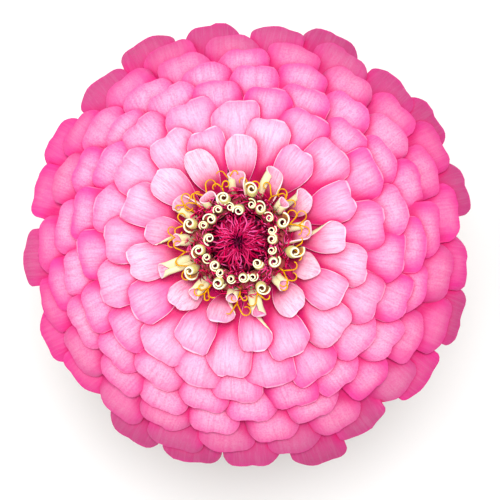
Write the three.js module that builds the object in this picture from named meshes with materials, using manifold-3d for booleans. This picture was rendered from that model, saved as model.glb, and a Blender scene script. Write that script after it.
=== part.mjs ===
// Potted zinnia: one fully double bloom on a leafy stem, in a plain clay pot.
// Millimetres, +Z up. The origin is the middle of the pot's flat base, where it stands.
// Run it with the npm packages three and manifold-3d installed; it exports a THREE.Group.

import * as THREE from "three";
import { mergeVertices } from "three/addons/utils/BufferGeometryUtils.js";
import Module from "manifold-3d";

const wasm = await Module();
wasm.setup();

// Driving dimensions.
const gap = 0.3; // between pieces that rest on or in each other

const pot = {
  height: 104,
  rimRadius: 57,
  rimBand: 21, // height of the thick band round the mouth
  shoulderRadius: 52.5, // outside of the wall just under the band
  baseRadius: 38,
  wall: 4.8,
  floor: 6,
  sides: 32,
  drainHole: { count: 4, radius: 4, onRadius: 21 },
};

const soil = { level: 92, sides: 24, rings: 3, crumb: 1.6, holeRadius: 3.4, holeDepth: 34 };

const stem = {
  radius: 2.6,
  sides: 8,
  steps: 28,
  // where it leaves the hole, its slight bends, and the neck under the bloom
  way: [
    [0, 0, soil.level - soil.holeDepth + gap],
    [0, 0, 98],
    [1.2, 0.8, 136],
    [2.3, -0.5, 174],
    [0, 0, 207.7],
  ],
};

// Opposite pairs of leaves, each pair across the one below it.
const leafPairs = [
  { height: 110, azimuth: 62, reach: 57, rise: 2, width: 28, rootDeg: 34, tipDeg: -40 },
  { height: 129, azimuth: 150, reach: 57, rise: 6, width: 30, rootDeg: 40, tipDeg: -38 },
  { height: 151, azimuth: 58, reach: 55, rise: 12, width: 27, rootDeg: 46, tipDeg: -34 },
  { height: 174, azimuth: 146, reach: 42, rise: 14, width: 20, rootDeg: 52, tipDeg: -26 },
  { height: 193, azimuth: 54, reach: 24, rise: 9, width: 11, rootDeg: 50, tipDeg: -14 },
];

const knot = { radius: 3.4, height: 4.6 }; // swelling of the stem at each pair

const bloomSeat = { height: 208, tiltDeg: 4, tiltTowardsDeg: 166 };

// All rays stand on one spiral, numbered from young to old: rolled ones, then folded, then open.
const spiral = {
  turnDeg: 137.38,
  startDeg: 344.4,
  firstRoll: -30,
  firstFolded: -12,
  firstOpen: 0,
  lastRay: 134,
};

const head = {
  coreBottom: 10.2,
  coreTop: 32,
  coreTopRadius: 12.6,
  coreWaistRadius: 11.6,
  coreFootRadius: 9.6,
  rimLevel: 6, // where the lowest petals end
  rise: 36, // from there to the top of the dome
  domeRadius: 59,
  domePower: 2.4,
  spread: 60, // limit that the petals' reach tends to
  rimSpread: 5.6, // the oldest petals reach this much beyond it
};

const petal = {
  thickness: 0.7,
  width: 12.8,
  youngWidth: 6.6,
  roundEnd: 0.44, // length of the rounded end, as a share of the width
  youngRoundEnd: 0.66,
  cup: 0.95,
  // how much longer or shorter some of the youngest rays are than their place on the spiral
  extraReach: { 1: 3, 2: -2.2, 3: -2.2, 5: -1.8, 6: 1.6, 7: -2.6 },
};

const collar = { inner: 7.8, outer: 12.2, bottom: head.coreTop + gap, top: head.coreTop + 2.2 };

const style = {
  radius: 0.4,
  footRadius: 10.6,
  footLevel: head.coreTop + 1.4,
  forkRadius: 13.2,
  forkLevel: 41.6,
  firstRay: -12,
  lastRay: 1,
};

const disc = { radius: 7.5, bottom: head.coreTop + gap, bristles: 40 };

const bractRows = [
  { count: 7, foot: [5.6, 2.8], tip: [10.4, 6.4], width: 7.4, offset: 0 },
  { count: 8, foot: [7.8, 5], tip: [11.8, 9.6], width: 7.8, offset: 0.5 },
];

// Solids. A mesh with shared corners becomes a solid that can be cut and joined, and back.
function solidOf(geometry) {
  const bare = geometry.clone();
  bare.deleteAttribute("normal");
  bare.deleteAttribute("uv");
  const merged = mergeVertices(bare, 1e-4);
  return new wasm.Manifold(
    new wasm.Mesh({
      numProp: 3,
      vertProperties: new Float32Array(merged.attributes.position.array),
      triVerts: new Uint32Array(merged.index.array),
    }),
  );
}

function geometryOf(solid) {
  const mesh = solid.getMesh();
  const points = new Float32Array((mesh.vertProperties.length / mesh.numProp) * 3);
  for (let i = 0; i < points.length / 3; i++)
    points.set(mesh.vertProperties.subarray(i * mesh.numProp, i * mesh.numProp + 3), i * 3);
  const geometry = new THREE.BufferGeometry();
  geometry.setAttribute("position", new THREE.BufferAttribute(points, 3));
  geometry.setIndex(new THREE.BufferAttribute(new Uint32Array(mesh.triVerts), 1));
  geometry.computeVertexNormals();
  return geometry;
}

// Joins solids into one body, with hollows sealed inside it filled and loose scraps dropped.
function joined(solids) {
  const whole = solids.reduce((sum, next) => sum.add(next));
  return whole.decompose().reduce((best, next) => (next.volume() > best.volume() ? next : best));
}

// A seeded random number from -1 to 1, the same on every run.
function seeded(seed) {
  let state = seed >>> 0;
  return () => {
    state = (state + 0x6d2b79f5) >>> 0;
    let t = Math.imul(state ^ (state >>> 15), state | 1);
    t = (t + Math.imul(t ^ (t >>> 7), t | 61)) ^ t;
    return (((t ^ (t >>> 14)) >>> 0) / 4294967296) * 2 - 1;
  };
}

const clamp = THREE.MathUtils.clamp;
const radians = THREE.MathUtils.degToRad;
const mix = THREE.MathUtils.lerp;
const smooth = (x, low, high) => THREE.MathUtils.smoothstep(x, low, high);

// A thin blade. place(u, x) gives the middle surface and its upward normal,
// u from root to tip and x from -1 to 1 across. Both faces are split alike.
// With a root point the blade runs on from its first row to that point.
function bladeGeometry(alongSteps, acrossSteps, thickness, place, rootPoint) {
  const top = [];
  const under = [];
  for (const u of alongSteps)
    for (const x of acrossSteps) {
      const { point, normal, thin = 1 } = place(u, x);
      const half = (thickness * thin) / 2;
      top.push(point.clone().addScaledVector(normal, half));
      under.push(point.clone().addScaledVector(normal, -half));
    }
  const across = acrossSteps.length;
  const along = alongSteps.length;
  const at = (i, j) => i * across + j;
  const lower = top.length;
  const faces = [];
  const quad = (a, b, c, d) => faces.push(a, b, c, a, c, d);
  for (let i = 0; i < along - 1; i++) {
    for (let j = 0; j < across - 1; j++) {
      const [a, b, c, d] = [at(i, j), at(i + 1, j), at(i + 1, j + 1), at(i, j + 1)];
      faces.push(a, b, c, a, c, d);
      faces.push(lower + a, lower + c, lower + b, lower + a, lower + d, lower + c);
    }
    quad(at(i, 0), lower + at(i, 0), lower + at(i + 1, 0), at(i + 1, 0));
    const e = across - 1;
    quad(at(i + 1, e), lower + at(i + 1, e), lower + at(i, e), at(i, e));
  }
  const root = 2 * top.length;
  for (let j = 0; j < across - 1; j++) {
    if (rootPoint) faces.push(root, at(0, j), at(0, j + 1), root, lower + at(0, j + 1), lower + at(0, j));
    else quad(at(0, j + 1), lower + at(0, j + 1), lower + at(0, j), at(0, j));
    const t = along - 1;
    quad(at(t, j), lower + at(t, j), lower + at(t, j + 1), at(t, j + 1));
  }
  if (rootPoint) {
    const e = across - 1;
    faces.push(root, lower + at(0, 0), at(0, 0), root, at(0, e), lower + at(0, e));
  }
  const points = [...top, ...under];
  if (rootPoint) points.push(rootPoint);
  const geometry = new THREE.BufferGeometry().setFromPoints(points);
  geometry.setIndex(faces);
  return geometry;
}

// Places a blade along a curve drawn in the upright plane at an azimuth.
// The curve holds (reach, height) pairs; halfWidth, cup and wave shape the section.
// roll turns it round its length, blunt rounds its tip, deep runs its root on to a point.
function bladeOnCurve({
  azimuth,
  curve,
  along,
  across,
  thickness,
  halfWidth,
  cup,
  roll = 0,
  wave = () => 0,
  blunt = () => 0,
  deep = 0,
}) {
  const out = new THREE.Vector3(Math.cos(azimuth), Math.sin(azimuth), 0);
  const side = new THREE.Vector3(-Math.sin(azimuth), Math.cos(azimuth), 0);
  const up = new THREE.Vector3(0, 0, 1);
  const start = curve.getPoint(0).addScaledVector(curve.getTangent(0), -deep);
  const rootPoint = out.clone().multiplyScalar(start.x).addScaledVector(up, start.y);
  const place = (u, x) => {
    const t = clamp(u - blunt(u) * x * x, 0, 1);
    const p = curve.getPoint(t);
    const d = curve.getTangent(t);
    const normal = up.clone().multiplyScalar(d.x).addScaledVector(out, -d.y);
    const lengthwise = out.clone().multiplyScalar(d.x).addScaledVector(up, d.y);
    const turn = new THREE.Quaternion().setFromAxisAngle(lengthwise, roll);
    const sideways = side.clone().applyQuaternion(turn);
    normal.applyQuaternion(turn);
    const lift = wave(u, x) - cup(u) * x * x;
    const point = out
      .clone()
      .multiplyScalar(p.x)
      .addScaledVector(up, p.y)
      .addScaledVector(sideways, halfWidth(u) * x)
      .addScaledVector(normal, lift);
    const slope = (-2 * cup(u) * x) / Math.max(halfWidth(u), 0.5);
    normal.addScaledVector(sideways, -slope).normalize();
    return { point, normal, thin: deep ? mix(1.7, 1, smooth(u, 0.3, 0.7)) : 1 };
  };
  return bladeGeometry(along, across, thickness, place, deep ? rootPoint : null);
}

// A value along a blade: given at some stations, straight between them.
function stations(pairs) {
  return (u) => {
    for (let i = 1; i < pairs.length; i++)
      if (u <= pairs[i][0]) {
        const [u0, v0] = pairs[i - 1];
        const [u1, v1] = pairs[i];
        return mix(v0, v1, (u - u0) / (u1 - u0));
      }
    return pairs[pairs.length - 1][1];
  };
}

// A bend from a root to a tip, both (reach, height), that leaves and arrives at given slopes.
function arc(root, rootDeg, tip, tipDeg, pull) {
  const reach = Math.hypot(tip[0] - root[0], tip[1] - root[1]) * pull;
  return new THREE.CubicBezierCurve(
    new THREE.Vector2(...root),
    new THREE.Vector2(
      root[0] + reach * Math.cos(radians(rootDeg)),
      root[1] + reach * Math.sin(radians(rootDeg)),
    ),
    new THREE.Vector2(
      tip[0] - reach * Math.cos(radians(tipDeg)),
      tip[1] - reach * Math.sin(radians(tipDeg)),
    ),
    new THREE.Vector2(...tip),
  );
}

// Pot and soil, turned from (radius, height) profiles.
function lathe(profile, sides) {
  const geometry = new THREE.LatheGeometry(
    profile.map(([r, z]) => new THREE.Vector2(r, z)),
    sides,
  );
  return geometry.rotateX(Math.PI / 2); // the profile's height becomes +Z
}

function potInnerRadius(z) {
  const shoulder = pot.height - pot.rimBand;
  return mix(pot.baseRadius, pot.shoulderRadius, z / shoulder) - pot.wall;
}

function potGeometry() {
  const shoulder = pot.height - pot.rimBand;
  const innerTop = potInnerRadius(pot.height);
  const profile = [
    [0, 0],
    [pot.baseRadius - 1.2, 0],
    [pot.baseRadius, 1.2],
    [pot.shoulderRadius, shoulder],
    [pot.rimRadius - 1.8, shoulder + 0.4],
    [pot.rimRadius - 0.9, shoulder + 2],
    [pot.rimRadius, pot.height - 1.5],
    [pot.rimRadius - 1.5, pot.height],
    [innerTop + 1.2, pot.height],
    [innerTop, pot.height - 1.4],
    [potInnerRadius(pot.floor + 2), pot.floor + 2],
    [potInnerRadius(pot.floor) - 3, pot.floor],
    [0, pot.floor],
  ];
  let solid = solidOf(lathe(profile, pot.sides));
  const hole = pot.drainHole;
  for (let i = 0; i < hole.count; i++) {
    const angle = ((i + 0.5) / hole.count) * 2 * Math.PI;
    const bit = new THREE.CylinderGeometry(hole.radius, hole.radius, pot.floor * 3, 8)
      .rotateX(Math.PI / 2)
      .translate(hole.onRadius * Math.cos(angle), hole.onRadius * Math.sin(angle), pot.floor / 2);
    solid = solid.subtract(solidOf(bit));
  }
  return geometryOf(solid);
}

function soilGeometry() {
  const foot = pot.floor + gap;
  const edge = potInnerRadius(soil.level) - gap;
  const profile = [
    [0, foot],
    [potInnerRadius(pot.floor) - 3 - gap, foot],
    [potInnerRadius(pot.floor + 3) - gap, foot + 3],
    [edge, soil.level - 1.5],
  ];
  for (let i = soil.rings; i >= 0; i--) profile.push([(edge * i) / soil.rings, soil.level]);
  const geometry = lathe(profile, soil.sides);
  const points = geometry.attributes.position;
  for (let i = 0; i < points.count; i++) {
    const [x, y, z] = [points.getX(i), points.getY(i), points.getZ(i)];
    if (z < soil.level - 0.01 || Math.hypot(x, y) > edge - 1) continue;
    const humps = Math.sin(x * 0.31 + 1.3) * Math.cos(y * 0.27 - 0.6);
    const crumbs = 0.5 * Math.sin(x * 0.7 - y * 0.6);
    points.setZ(i, z + soil.crumb * (humps + crumbs));
  }
  const hole = new THREE.CylinderGeometry(soil.holeRadius, soil.holeRadius, soil.holeDepth + 20, 12)
    .rotateX(Math.PI / 2)
    .translate(0, 0, soil.level - soil.holeDepth + (soil.holeDepth + 20) / 2);
  return geometryOf(solidOf(geometry).subtract(solidOf(hole)));
}

// Stem and leaves, set on the stem's curve.
const stemCurve = new THREE.CatmullRomCurve3(stem.way.map((p) => new THREE.Vector3(...p)));

// The middle of the stem at a height.
function stemAt(height) {
  let [low, high] = [0, 1];
  for (let i = 0; i < 30; i++) {
    const middle = (low + high) / 2;
    if (stemCurve.getPoint(middle).z < height) low = middle;
    else high = middle;
  }
  return stemCurve.getPoint(low);
}

function stemGeometry() {
  const section = new THREE.Shape();
  for (let i = 0; i < stem.sides; i++) {
    const angle = (i / stem.sides) * 2 * Math.PI;
    const [x, y] = [stem.radius * Math.cos(angle), stem.radius * Math.sin(angle)];
    if (i === 0) section.moveTo(x, y);
    else section.lineTo(x, y);
  }
  section.closePath();
  const tube = new THREE.ExtrudeGeometry(section, { steps: stem.steps, extrudePath: stemCurve });
  const points = tube.attributes.position;
  for (let i = 0; i < points.count; i++) {
    const z = points.getZ(i);
    const middle = stemAt(z);
    const swelling = (total, { height }) => total + Math.exp(-(((z - height) / knot.height) ** 2));
    const grow = 1 + (knot.radius / stem.radius - 1) * leafPairs.reduce(swelling, 0);
    points.setXYZ(
      i,
      middle.x + (points.getX(i) - middle.x) * grow,
      middle.y + (points.getY(i) - middle.y) * grow,
      z,
    );
  }
  return geometryOf(solidOf(tube));
}

const leafOutline = stations([
  [0, 0.3],
  [0.07, 0.5],
  [0.2, 0.86],
  [0.38, 1],
  [0.56, 0.9],
  [0.73, 0.64],
  [0.88, 0.32],
  [1, 0.05],
]);

function leafGeometry(pair, flip, seed) {
  const random = seeded(seed);
  const at = stemAt(pair.height);
  const root = knot.radius + gap + 0.25;
  const reach = pair.reach * (1 + 0.05 * random());
  const curve = arc(
    [root, 0],
    pair.rootDeg + 4 * random(),
    [reach, pair.rise + 2 * random()],
    pair.tipDeg + 5 * random(),
    0.42,
  );
  const phase = 3 * random();
  const waviness = 0.05 * pair.width;
  const geometry = bladeOnCurve({
    azimuth: radians(pair.azimuth + flip + 5 * random()),
    curve,
    along: [0, 0.07, 0.2, 0.38, 0.56, 0.73, 0.88, 1],
    across: [-1, -0.5, 0, 0.5, 1],
    thickness: 0.8,
    halfWidth: (u) => (leafOutline(u) * pair.width) / 2,
    cup: (u) => -0.1 * pair.width * smooth(u, 0, 0.3) * (1 - 0.7 * u),
    roll: 0.12 * random(),
    wave: (u, x) => waviness * x * Math.abs(x) * Math.sin(9 * u + phase) * smooth(u, 0.05, 0.3),
  });
  return geometryOf(solidOf(geometry.translate(at.x, at.y, at.z)));
}

// Bloom, in its own frame with +Z out of its face.
// How far out ray n reaches: crowded young rays near the middle, spreading to the dome's edge.
function rayReach(n) {
  const soft = 10 * Math.log(1 + Math.exp((n + 7.2) / 10));
  const rim = head.rimSpread * smooth(n, 60, spiral.lastRay);
  return head.spread * Math.sqrt(1 - Math.exp(-soft / 86)) + rim;
}

// The dome that the ray tips lie on: its height, and how steeply it falls outward.
function domeLevel(reach) {
  return head.rimLevel + head.rise * (1 - Math.pow(reach / head.domeRadius, head.domePower));
}

function domeFallDeg(reach) {
  const share = Math.pow(reach / head.domeRadius, head.domePower - 1);
  return THREE.MathUtils.radToDeg(Math.atan((head.rise * head.domePower * share) / head.domeRadius));
}

function rayAzimuth(n) {
  const twist = 9 * (1 - smooth(n, -8, 8)); // the youngest rays lean to one side
  return radians(spiral.startDeg + spiral.turnDeg * n - twist);
}

// The core that the rays stand on.
function coreRadius(z) {
  const share = (z - head.coreBottom) / (head.coreTop - head.coreBottom);
  const waist = mix(head.coreFootRadius, head.coreWaistRadius, smooth(share, 0, 0.5));
  return mix(waist, head.coreTopRadius, smooth(share, 0.5, 1));
}

function coreGeometry() {
  const profile = [[0, head.coreBottom]];
  for (let i = 0; i <= 2; i++) {
    const z = mix(head.coreBottom, head.coreTop, i / 2);
    profile.push([coreRadius(z), z]);
  }
  profile.push([0, head.coreTop]);
  return lathe(profile, 10);
}

const petalOutline = stations([
  [0, 0.26],
  [0.36, 0.46],
  [0.5, 0.74],
  [0.68, 1],
  [1, 1],
]);

// Ray n of the head: a convex tile when old, more and more folded upward when young.
// The folded ones grow from the collar, the rest from deep in the core.
// The end of each is rounded over a length that goes with its width.
function petalGeometry(n, random) {
  const folded = n < spiral.firstOpen;
  const age = clamp(n / spiral.lastRay, 0, 1);
  const young = 1 - smooth(n, -4, 18);
  const oldness = smooth(n, 30, spiral.lastRay);
  const reach = rayReach(n) * (1 + 0.018 * random()) + (petal.extraReach[n] ?? 0);
  const coreLevel = mix(head.coreTop - 1.2, head.coreBottom + 1.2, Math.pow(age, 0.92));
  const coreRoot = [coreRadius(coreLevel) - mix(1.6, 0.7, young), coreLevel];
  const root = folded ? [collar.outer - 0.9, collar.top - 0.8] : coreRoot;
  const tip = [reach, domeLevel(reach) + 1.1 * (1 - smooth(n, -14, 10)) - 0.4];
  const tipDeg = mix(16 - domeFallDeg(reach), 22, young) + 2 * random();
  const rootDeg = mix(mix(26, 52, young), -6, oldness);
  const width = mix(petal.youngWidth, petal.width, smooth(n, -14, 36)) * (folded ? 0.8 : 1);
  const curve = arc(root, rootDeg, tip, tipDeg, 0.36);
  const roundEnd = (mix(petal.roundEnd, petal.youngRoundEnd, young) * width) / curve.getLength();
  const [shoulder, cheek] = [1 - 1.2 * roundEnd, 1 - 0.5 * roundEnd];
  const narrowing = stations([
    [shoulder, 1],
    [cheek, 0.94],
    [1, 0.64],
  ]);
  return bladeOnCurve({
    azimuth: rayAzimuth(n) + radians(1.4 * random()),
    curve,
    along: [folded ? 0 : 0.36, shoulder, cheek, 1],
    across: [-1, 0, 1],
    deep: folded ? 0 : 8,
    thickness: petal.thickness,
    halfWidth: (u) => (petalOutline(u) * (u < shoulder ? 1 : narrowing(u)) * width) / 2,
    cup: (u) => mix(petal.cup, folded ? -2 : -0.9, young) * smooth(u, 0.1, 0.6),
    roll: 0.05 * random(),
    blunt: (u) => 0.45 * roundEnd * smooth(u, shoulder, 1),
  });
}

function petalsGeometry() {
  const random = seeded(11);
  const solids = [solidOf(coreGeometry())];
  for (let n = spiral.firstOpen; n <= spiral.lastRay; n++) solids.push(solidOf(petalGeometry(n, random)));
  return geometryOf(joined(solids));
}

// A ray still rolled up: a blade wound about once round its own leaning axis, widest at
// the mouth. Its foot stands on the collar and its mouth where the spiral puts it.
function scrollSolid(n, random) {
  const azimuth = rayAzimuth(n);
  const out = new THREE.Vector3(Math.cos(azimuth), Math.sin(azimuth), 0);
  const mouthReach = rayReach(n);
  const footReach = clamp(mouthReach, collar.inner + 0.8, collar.outer - 1);
  const age = (n - spiral.firstRoll) / (spiral.firstFolded - 1 - spiral.firstRoll);
  const height = mix(7.4, 9.6, age) + 0.6 * random();
  const mouth = mix(0.9, 1.5, age) + 0.12 * random();
  const start = azimuth + radians(150 + 40 * random());
  const wind = radians(mix(330, 290, age));
  const columns = [0, 1, 2, 3, 4, 5].map((j) => j / 5);
  const geometry = bladeGeometry([0, 1], columns, 0.6, (u, x) => {
    const turn = start + wind * x;
    const radius = mix(0.55, 1, u) * mouth * mix(0.78, 1.15, x);
    const normal = new THREE.Vector3(-Math.cos(turn), -Math.sin(turn), 0);
    const axis = out.clone().multiplyScalar(mix(footReach, mouthReach, u));
    const point = axis.addScaledVector(normal, -radius);
    point.z = collar.top - 0.7 + height * u - 1.2 * u * (1 - x);
    return { point, normal };
  });
  return solidOf(geometry);
}

// A thin thread with three sides along a list of points.
function threadSolid(points, radius, steps) {
  const section = new THREE.Shape();
  for (let i = 0; i < 3; i++) {
    const angle = (i / 3) * 2 * Math.PI;
    const [x, y] = [radius * Math.cos(angle), radius * Math.sin(angle)];
    if (i === 0) section.moveTo(x, y);
    else section.lineTo(x, y);
  }
  section.closePath();
  const path = new THREE.CatmullRomCurve3(points);
  return solidOf(new THREE.ExtrudeGeometry(section, { steps, extrudePath: path }));
}

// The forked style of ray n: it stands inside the ray's foot and its branches curl out over it.
function styleSolid(n, random) {
  const azimuth = rayAzimuth(n) + radians(6 * random());
  const at = (r, turn, z) => {
    const angle = azimuth + radians(turn);
    return new THREE.Vector3(r * Math.cos(angle), r * Math.sin(angle), z);
  };
  const level = style.forkLevel + 0.5 * random();
  const fork = at(style.forkRadius + 0.4 * random(), 0, level);
  const reach = style.forkRadius + 3.4 + 1.6 * random();
  const foot = at(style.footRadius, 0, style.footLevel);
  const stalk = [foot, at(style.footRadius + 0.9, 1, style.footLevel + 4.2), fork];
  const branch = (way) => [
    at(mix(style.forkRadius, reach, 0.5), 7 * way, level + 1.5),
    at(reach, 13 * way, level + 0.4),
  ];
  return joined([
    threadSolid([...stalk, ...branch(1)], style.radius, 5),
    threadSolid([fork, ...branch(-1)], style.radius, 2),
  ]);
}

// The cream inner rays on their collar, rolled and folded, with the gold styles among them.
function innerRaysGeometry() {
  const random = seeded(23);
  const profile = [
    [collar.inner, collar.bottom],
    [collar.outer, collar.bottom],
    [collar.outer, collar.top],
    [collar.inner, collar.top],
    [collar.inner, collar.bottom],
  ];
  const solids = [solidOf(lathe(profile, 16))];
  const folds = seeded(19);
  for (let n = spiral.firstFolded; n < spiral.firstOpen; n++) solids.push(solidOf(petalGeometry(n, folds)));
  for (let n = spiral.firstRoll; n < spiral.firstFolded; n++) solids.push(scrollSolid(n, random));
  for (let n = style.firstRay; n <= style.lastRay; n++) solids.push(styleSolid(n, random));
  return geometryOf(joined(solids));
}

// The crimson middle: a low dome of stiff pointed bristles that lean in over the centre.
function discGeometry() {
  const random = seeded(31);
  const profile = [
    [0, disc.bottom],
    [disc.radius, disc.bottom],
    [disc.radius * 0.92, disc.bottom + 1.6],
    [disc.radius * 0.6, disc.bottom + 3],
    [0, disc.bottom + 3.6],
  ];
  const solids = [solidOf(lathe(profile, 10))];
  for (let k = 0; k < disc.bristles; k++) {
    const share = Math.sqrt((k + 0.6) / disc.bristles);
    const azimuth = radians(spiral.turnDeg * k);
    const radius = disc.radius * 0.9 * share;
    const length = 6.6 - 1.2 * share + 0.8 * random();
    const bristle = new THREE.ConeGeometry(0.62, length, 3)
      .rotateX(Math.PI / 2)
      .translate(0, 0, length / 2)
      .rotateY(radians(-26 * share + 6 * random()))
      .translate(radius, 0, disc.bottom + 3.4 - 2.6 * share * share - 0.5)
      .rotateZ(azimuth);
    solids.push(solidOf(bristle));
  }
  return geometryOf(joined(solids));
}

const bractOutline = stations([
  [0, 0.7],
  [0.4, 1],
  [0.8, 0.86],
  [1, 0.5],
]);

// The green cup under the head, covered by rounded bracts that overlap like tiles.
function involucreGeometry() {
  const random = seeded(47);
  const profile = [
    [0, gap],
    [3.1, gap],
    [7.6, 3.4],
    [10.2, head.coreBottom - gap],
    [0, head.coreBottom - gap],
  ];
  const solids = [solidOf(lathe(profile, 12))];
  for (const { count, foot, tip, width, offset } of bractRows)
    for (let i = 0; i < count; i++) {
      const geometry = bladeOnCurve({
        azimuth: ((i + offset + 0.08 * random()) / count) * 2 * Math.PI,
        curve: arc(foot, 40, tip, 72 + 5 * random(), 0.36),
        along: [0.35, 0.75, 1],
        across: [-1, 0, 1],
        deep: 3,
        thickness: 0.8,
        halfWidth: (u) => (bractOutline(u) * width) / 2,
        cup: () => -0.14 * width,
      });
      solids.push(solidOf(geometry));
    }
  return geometryOf(joined(solids));
}

// Assembly.
const materials = {
  clay: new THREE.MeshStandardMaterial({ color: 0xb5643c, roughness: 0.9, metalness: 0 }),
  soil: new THREE.MeshStandardMaterial({ color: 0x3a2a20, roughness: 1, metalness: 0 }),
  stem: new THREE.MeshStandardMaterial({ color: 0x6f8f45, roughness: 0.7, metalness: 0 }),
  leaf: new THREE.MeshStandardMaterial({ color: 0x4c7a34, roughness: 0.75, metalness: 0 }),
  bract: new THREE.MeshStandardMaterial({ color: 0x5d7d38, roughness: 0.75, metalness: 0 }),
  petal: new THREE.MeshStandardMaterial({ color: 0xf06aa6, roughness: 0.6, metalness: 0 }),
  cream: new THREE.MeshStandardMaterial({ color: 0xf3e6b4, roughness: 0.65, metalness: 0 }),
  crimson: new THREE.MeshStandardMaterial({ color: 0x7d1230, roughness: 0.6, metalness: 0 }),
};

const zinnia = new THREE.Group();

function addPiece(name, geometry, material, group = zinnia) {
  const mesh = new THREE.Mesh(geometry, material);
  mesh.name = name;
  group.add(mesh);
  return mesh;
}

addPiece("pot", potGeometry(), materials.clay);
addPiece("soil", soilGeometry(), materials.soil);
addPiece("stem", stemGeometry(), materials.stem);
leafPairs.forEach((pair, i) => {
  addPiece(`leaf_${i + 1}_a`, leafGeometry(pair, 0, 100 + 2 * i), materials.leaf);
  addPiece(`leaf_${i + 1}_b`, leafGeometry(pair, 180, 101 + 2 * i), materials.leaf);
});

const bloom = new THREE.Group();
bloom.position.set(0, 0, bloomSeat.height);
const lean = radians(bloomSeat.tiltTowardsDeg);
bloom.quaternion.setFromAxisAngle(
  new THREE.Vector3(-Math.sin(lean), Math.cos(lean), 0),
  radians(bloomSeat.tiltDeg),
);
zinnia.add(bloom);
addPiece("involucre", involucreGeometry(), materials.bract, bloom);
addPiece("ray_petals", petalsGeometry(), materials.petal, bloom);
addPiece("inner_rays", innerRaysGeometry(), materials.cream, bloom);
addPiece("disc", discGeometry(), materials.crimson, bloom);

export default zinnia;
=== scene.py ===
import math
import bmesh
import bpy
from mathutils import Matrix, Quaternion, Vector
from mathutils.geometry import interpolate_bezier


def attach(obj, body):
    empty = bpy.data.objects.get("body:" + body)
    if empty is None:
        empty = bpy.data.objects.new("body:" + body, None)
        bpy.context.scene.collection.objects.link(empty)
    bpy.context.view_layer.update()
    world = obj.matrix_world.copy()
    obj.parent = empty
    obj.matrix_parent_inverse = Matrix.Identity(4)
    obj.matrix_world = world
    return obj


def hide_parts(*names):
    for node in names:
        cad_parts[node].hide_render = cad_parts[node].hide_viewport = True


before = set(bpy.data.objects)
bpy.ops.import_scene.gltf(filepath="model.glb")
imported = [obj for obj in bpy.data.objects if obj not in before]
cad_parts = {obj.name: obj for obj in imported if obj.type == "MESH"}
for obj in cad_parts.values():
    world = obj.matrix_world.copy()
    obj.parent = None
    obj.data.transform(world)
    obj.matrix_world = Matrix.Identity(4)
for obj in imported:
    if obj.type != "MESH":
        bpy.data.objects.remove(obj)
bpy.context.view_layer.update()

mm = 0.001  # the plant is worked out in millimetres and made in metres
seatGap = 0.3  # between pieces that rest in or beside each other


# small tools used by every piece

def clamp(x, low, high):
    return max(low, min(high, x))


def mix(a, b, share):
    return a + (b - a) * share


def smooth(x, low, high):
    t = clamp((x - low) / (high - low), 0, 1)
    return t * t * (3 - 2 * t)


def seeded(seed):
    # the same draws from -1 to 1 as the solids are placed with
    state = [seed & 0xFFFFFFFF]

    def draw():
        state[0] = (state[0] + 0x6D2B79F5) & 0xFFFFFFFF
        s = state[0]
        t = ((s ^ (s >> 15)) * (s | 1)) & 0xFFFFFFFF
        t = ((t + (((t ^ (t >> 7)) * (t | 61)) & 0xFFFFFFFF)) & 0xFFFFFFFF) ^ t
        return (t ^ (t >> 14)) / 4294967296 * 2 - 1

    return draw


def between(low, high, draw):
    return mix(low, high, (draw() + 1) / 2)


def polar(radius, angle, z=0.0):
    return Vector((radius * math.cos(angle), radius * math.sin(angle), z))


def crosswise(angle):
    # a quarter turn on from polar(1, angle)
    return Vector((-math.sin(angle), math.cos(angle), 0))


def curveThrough(stations):
    # a value along a blade, given at some stations, with soft turns between them
    places = [p for p, _ in stations]
    values = [v for _, v in stations]
    slopes = []
    for i in range(len(places)):
        before, after = max(i - 1, 0), min(i + 1, len(places) - 1)
        slopes.append((values[after] - values[before]) / (places[after] - places[before]))

    def at(u):
        u = clamp(u, places[0], places[-1])
        i = max(j for j in range(len(places) - 1) if places[j] <= u)
        span = places[i + 1] - places[i]
        t = (u - places[i]) / span
        return (
            values[i] * (2 * t**3 - 3 * t**2 + 1)
            + slopes[i] * span * (t**3 - 2 * t**2 + t)
            + values[i + 1] * (3 * t**2 - 2 * t**3)
            + slopes[i + 1] * span * (t**3 - t**2)
        )

    return at


def arc(root, rootDeg, tip, tipDeg, pull):
    # a bend from root to tip, both (reach, height), that leaves and arrives at given slopes
    a, d = Vector(root), Vector(tip)
    handle = (d - a).length * pull
    b = a + handle * polar(1, math.radians(rootDeg)).xy
    c = d - handle * polar(1, math.radians(tipDeg)).xy

    def at(t):
        s = 1 - t
        point = a * s**3 + b * 3 * s * s * t + c * 3 * s * t * t + d * t**3
        heading = (b - a) * s * s + (c - b) * 2 * s * t + (d - c) * t * t
        return point, heading.normalized()

    return at


def crossSection(half, bowl, fold, x):
    # how far sideways and up a section runs by x: bowl turns both edges up or down,
    # and fold, (angle, where it starts, how wide the bend is), turns this side over
    turn, start, span = fold
    steps = 14 if turn else 4
    sideways = lift = 0
    for i in range(steps):
        part = (i + 0.5) / steps * abs(x)
        slope = bowl * part + turn * smooth(part, start, start + span)
        sideways += math.cos(slope) * half * abs(x) / steps
        lift += math.sin(slope) * half * abs(x) / steps
    return math.copysign(sideways, x), lift


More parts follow.
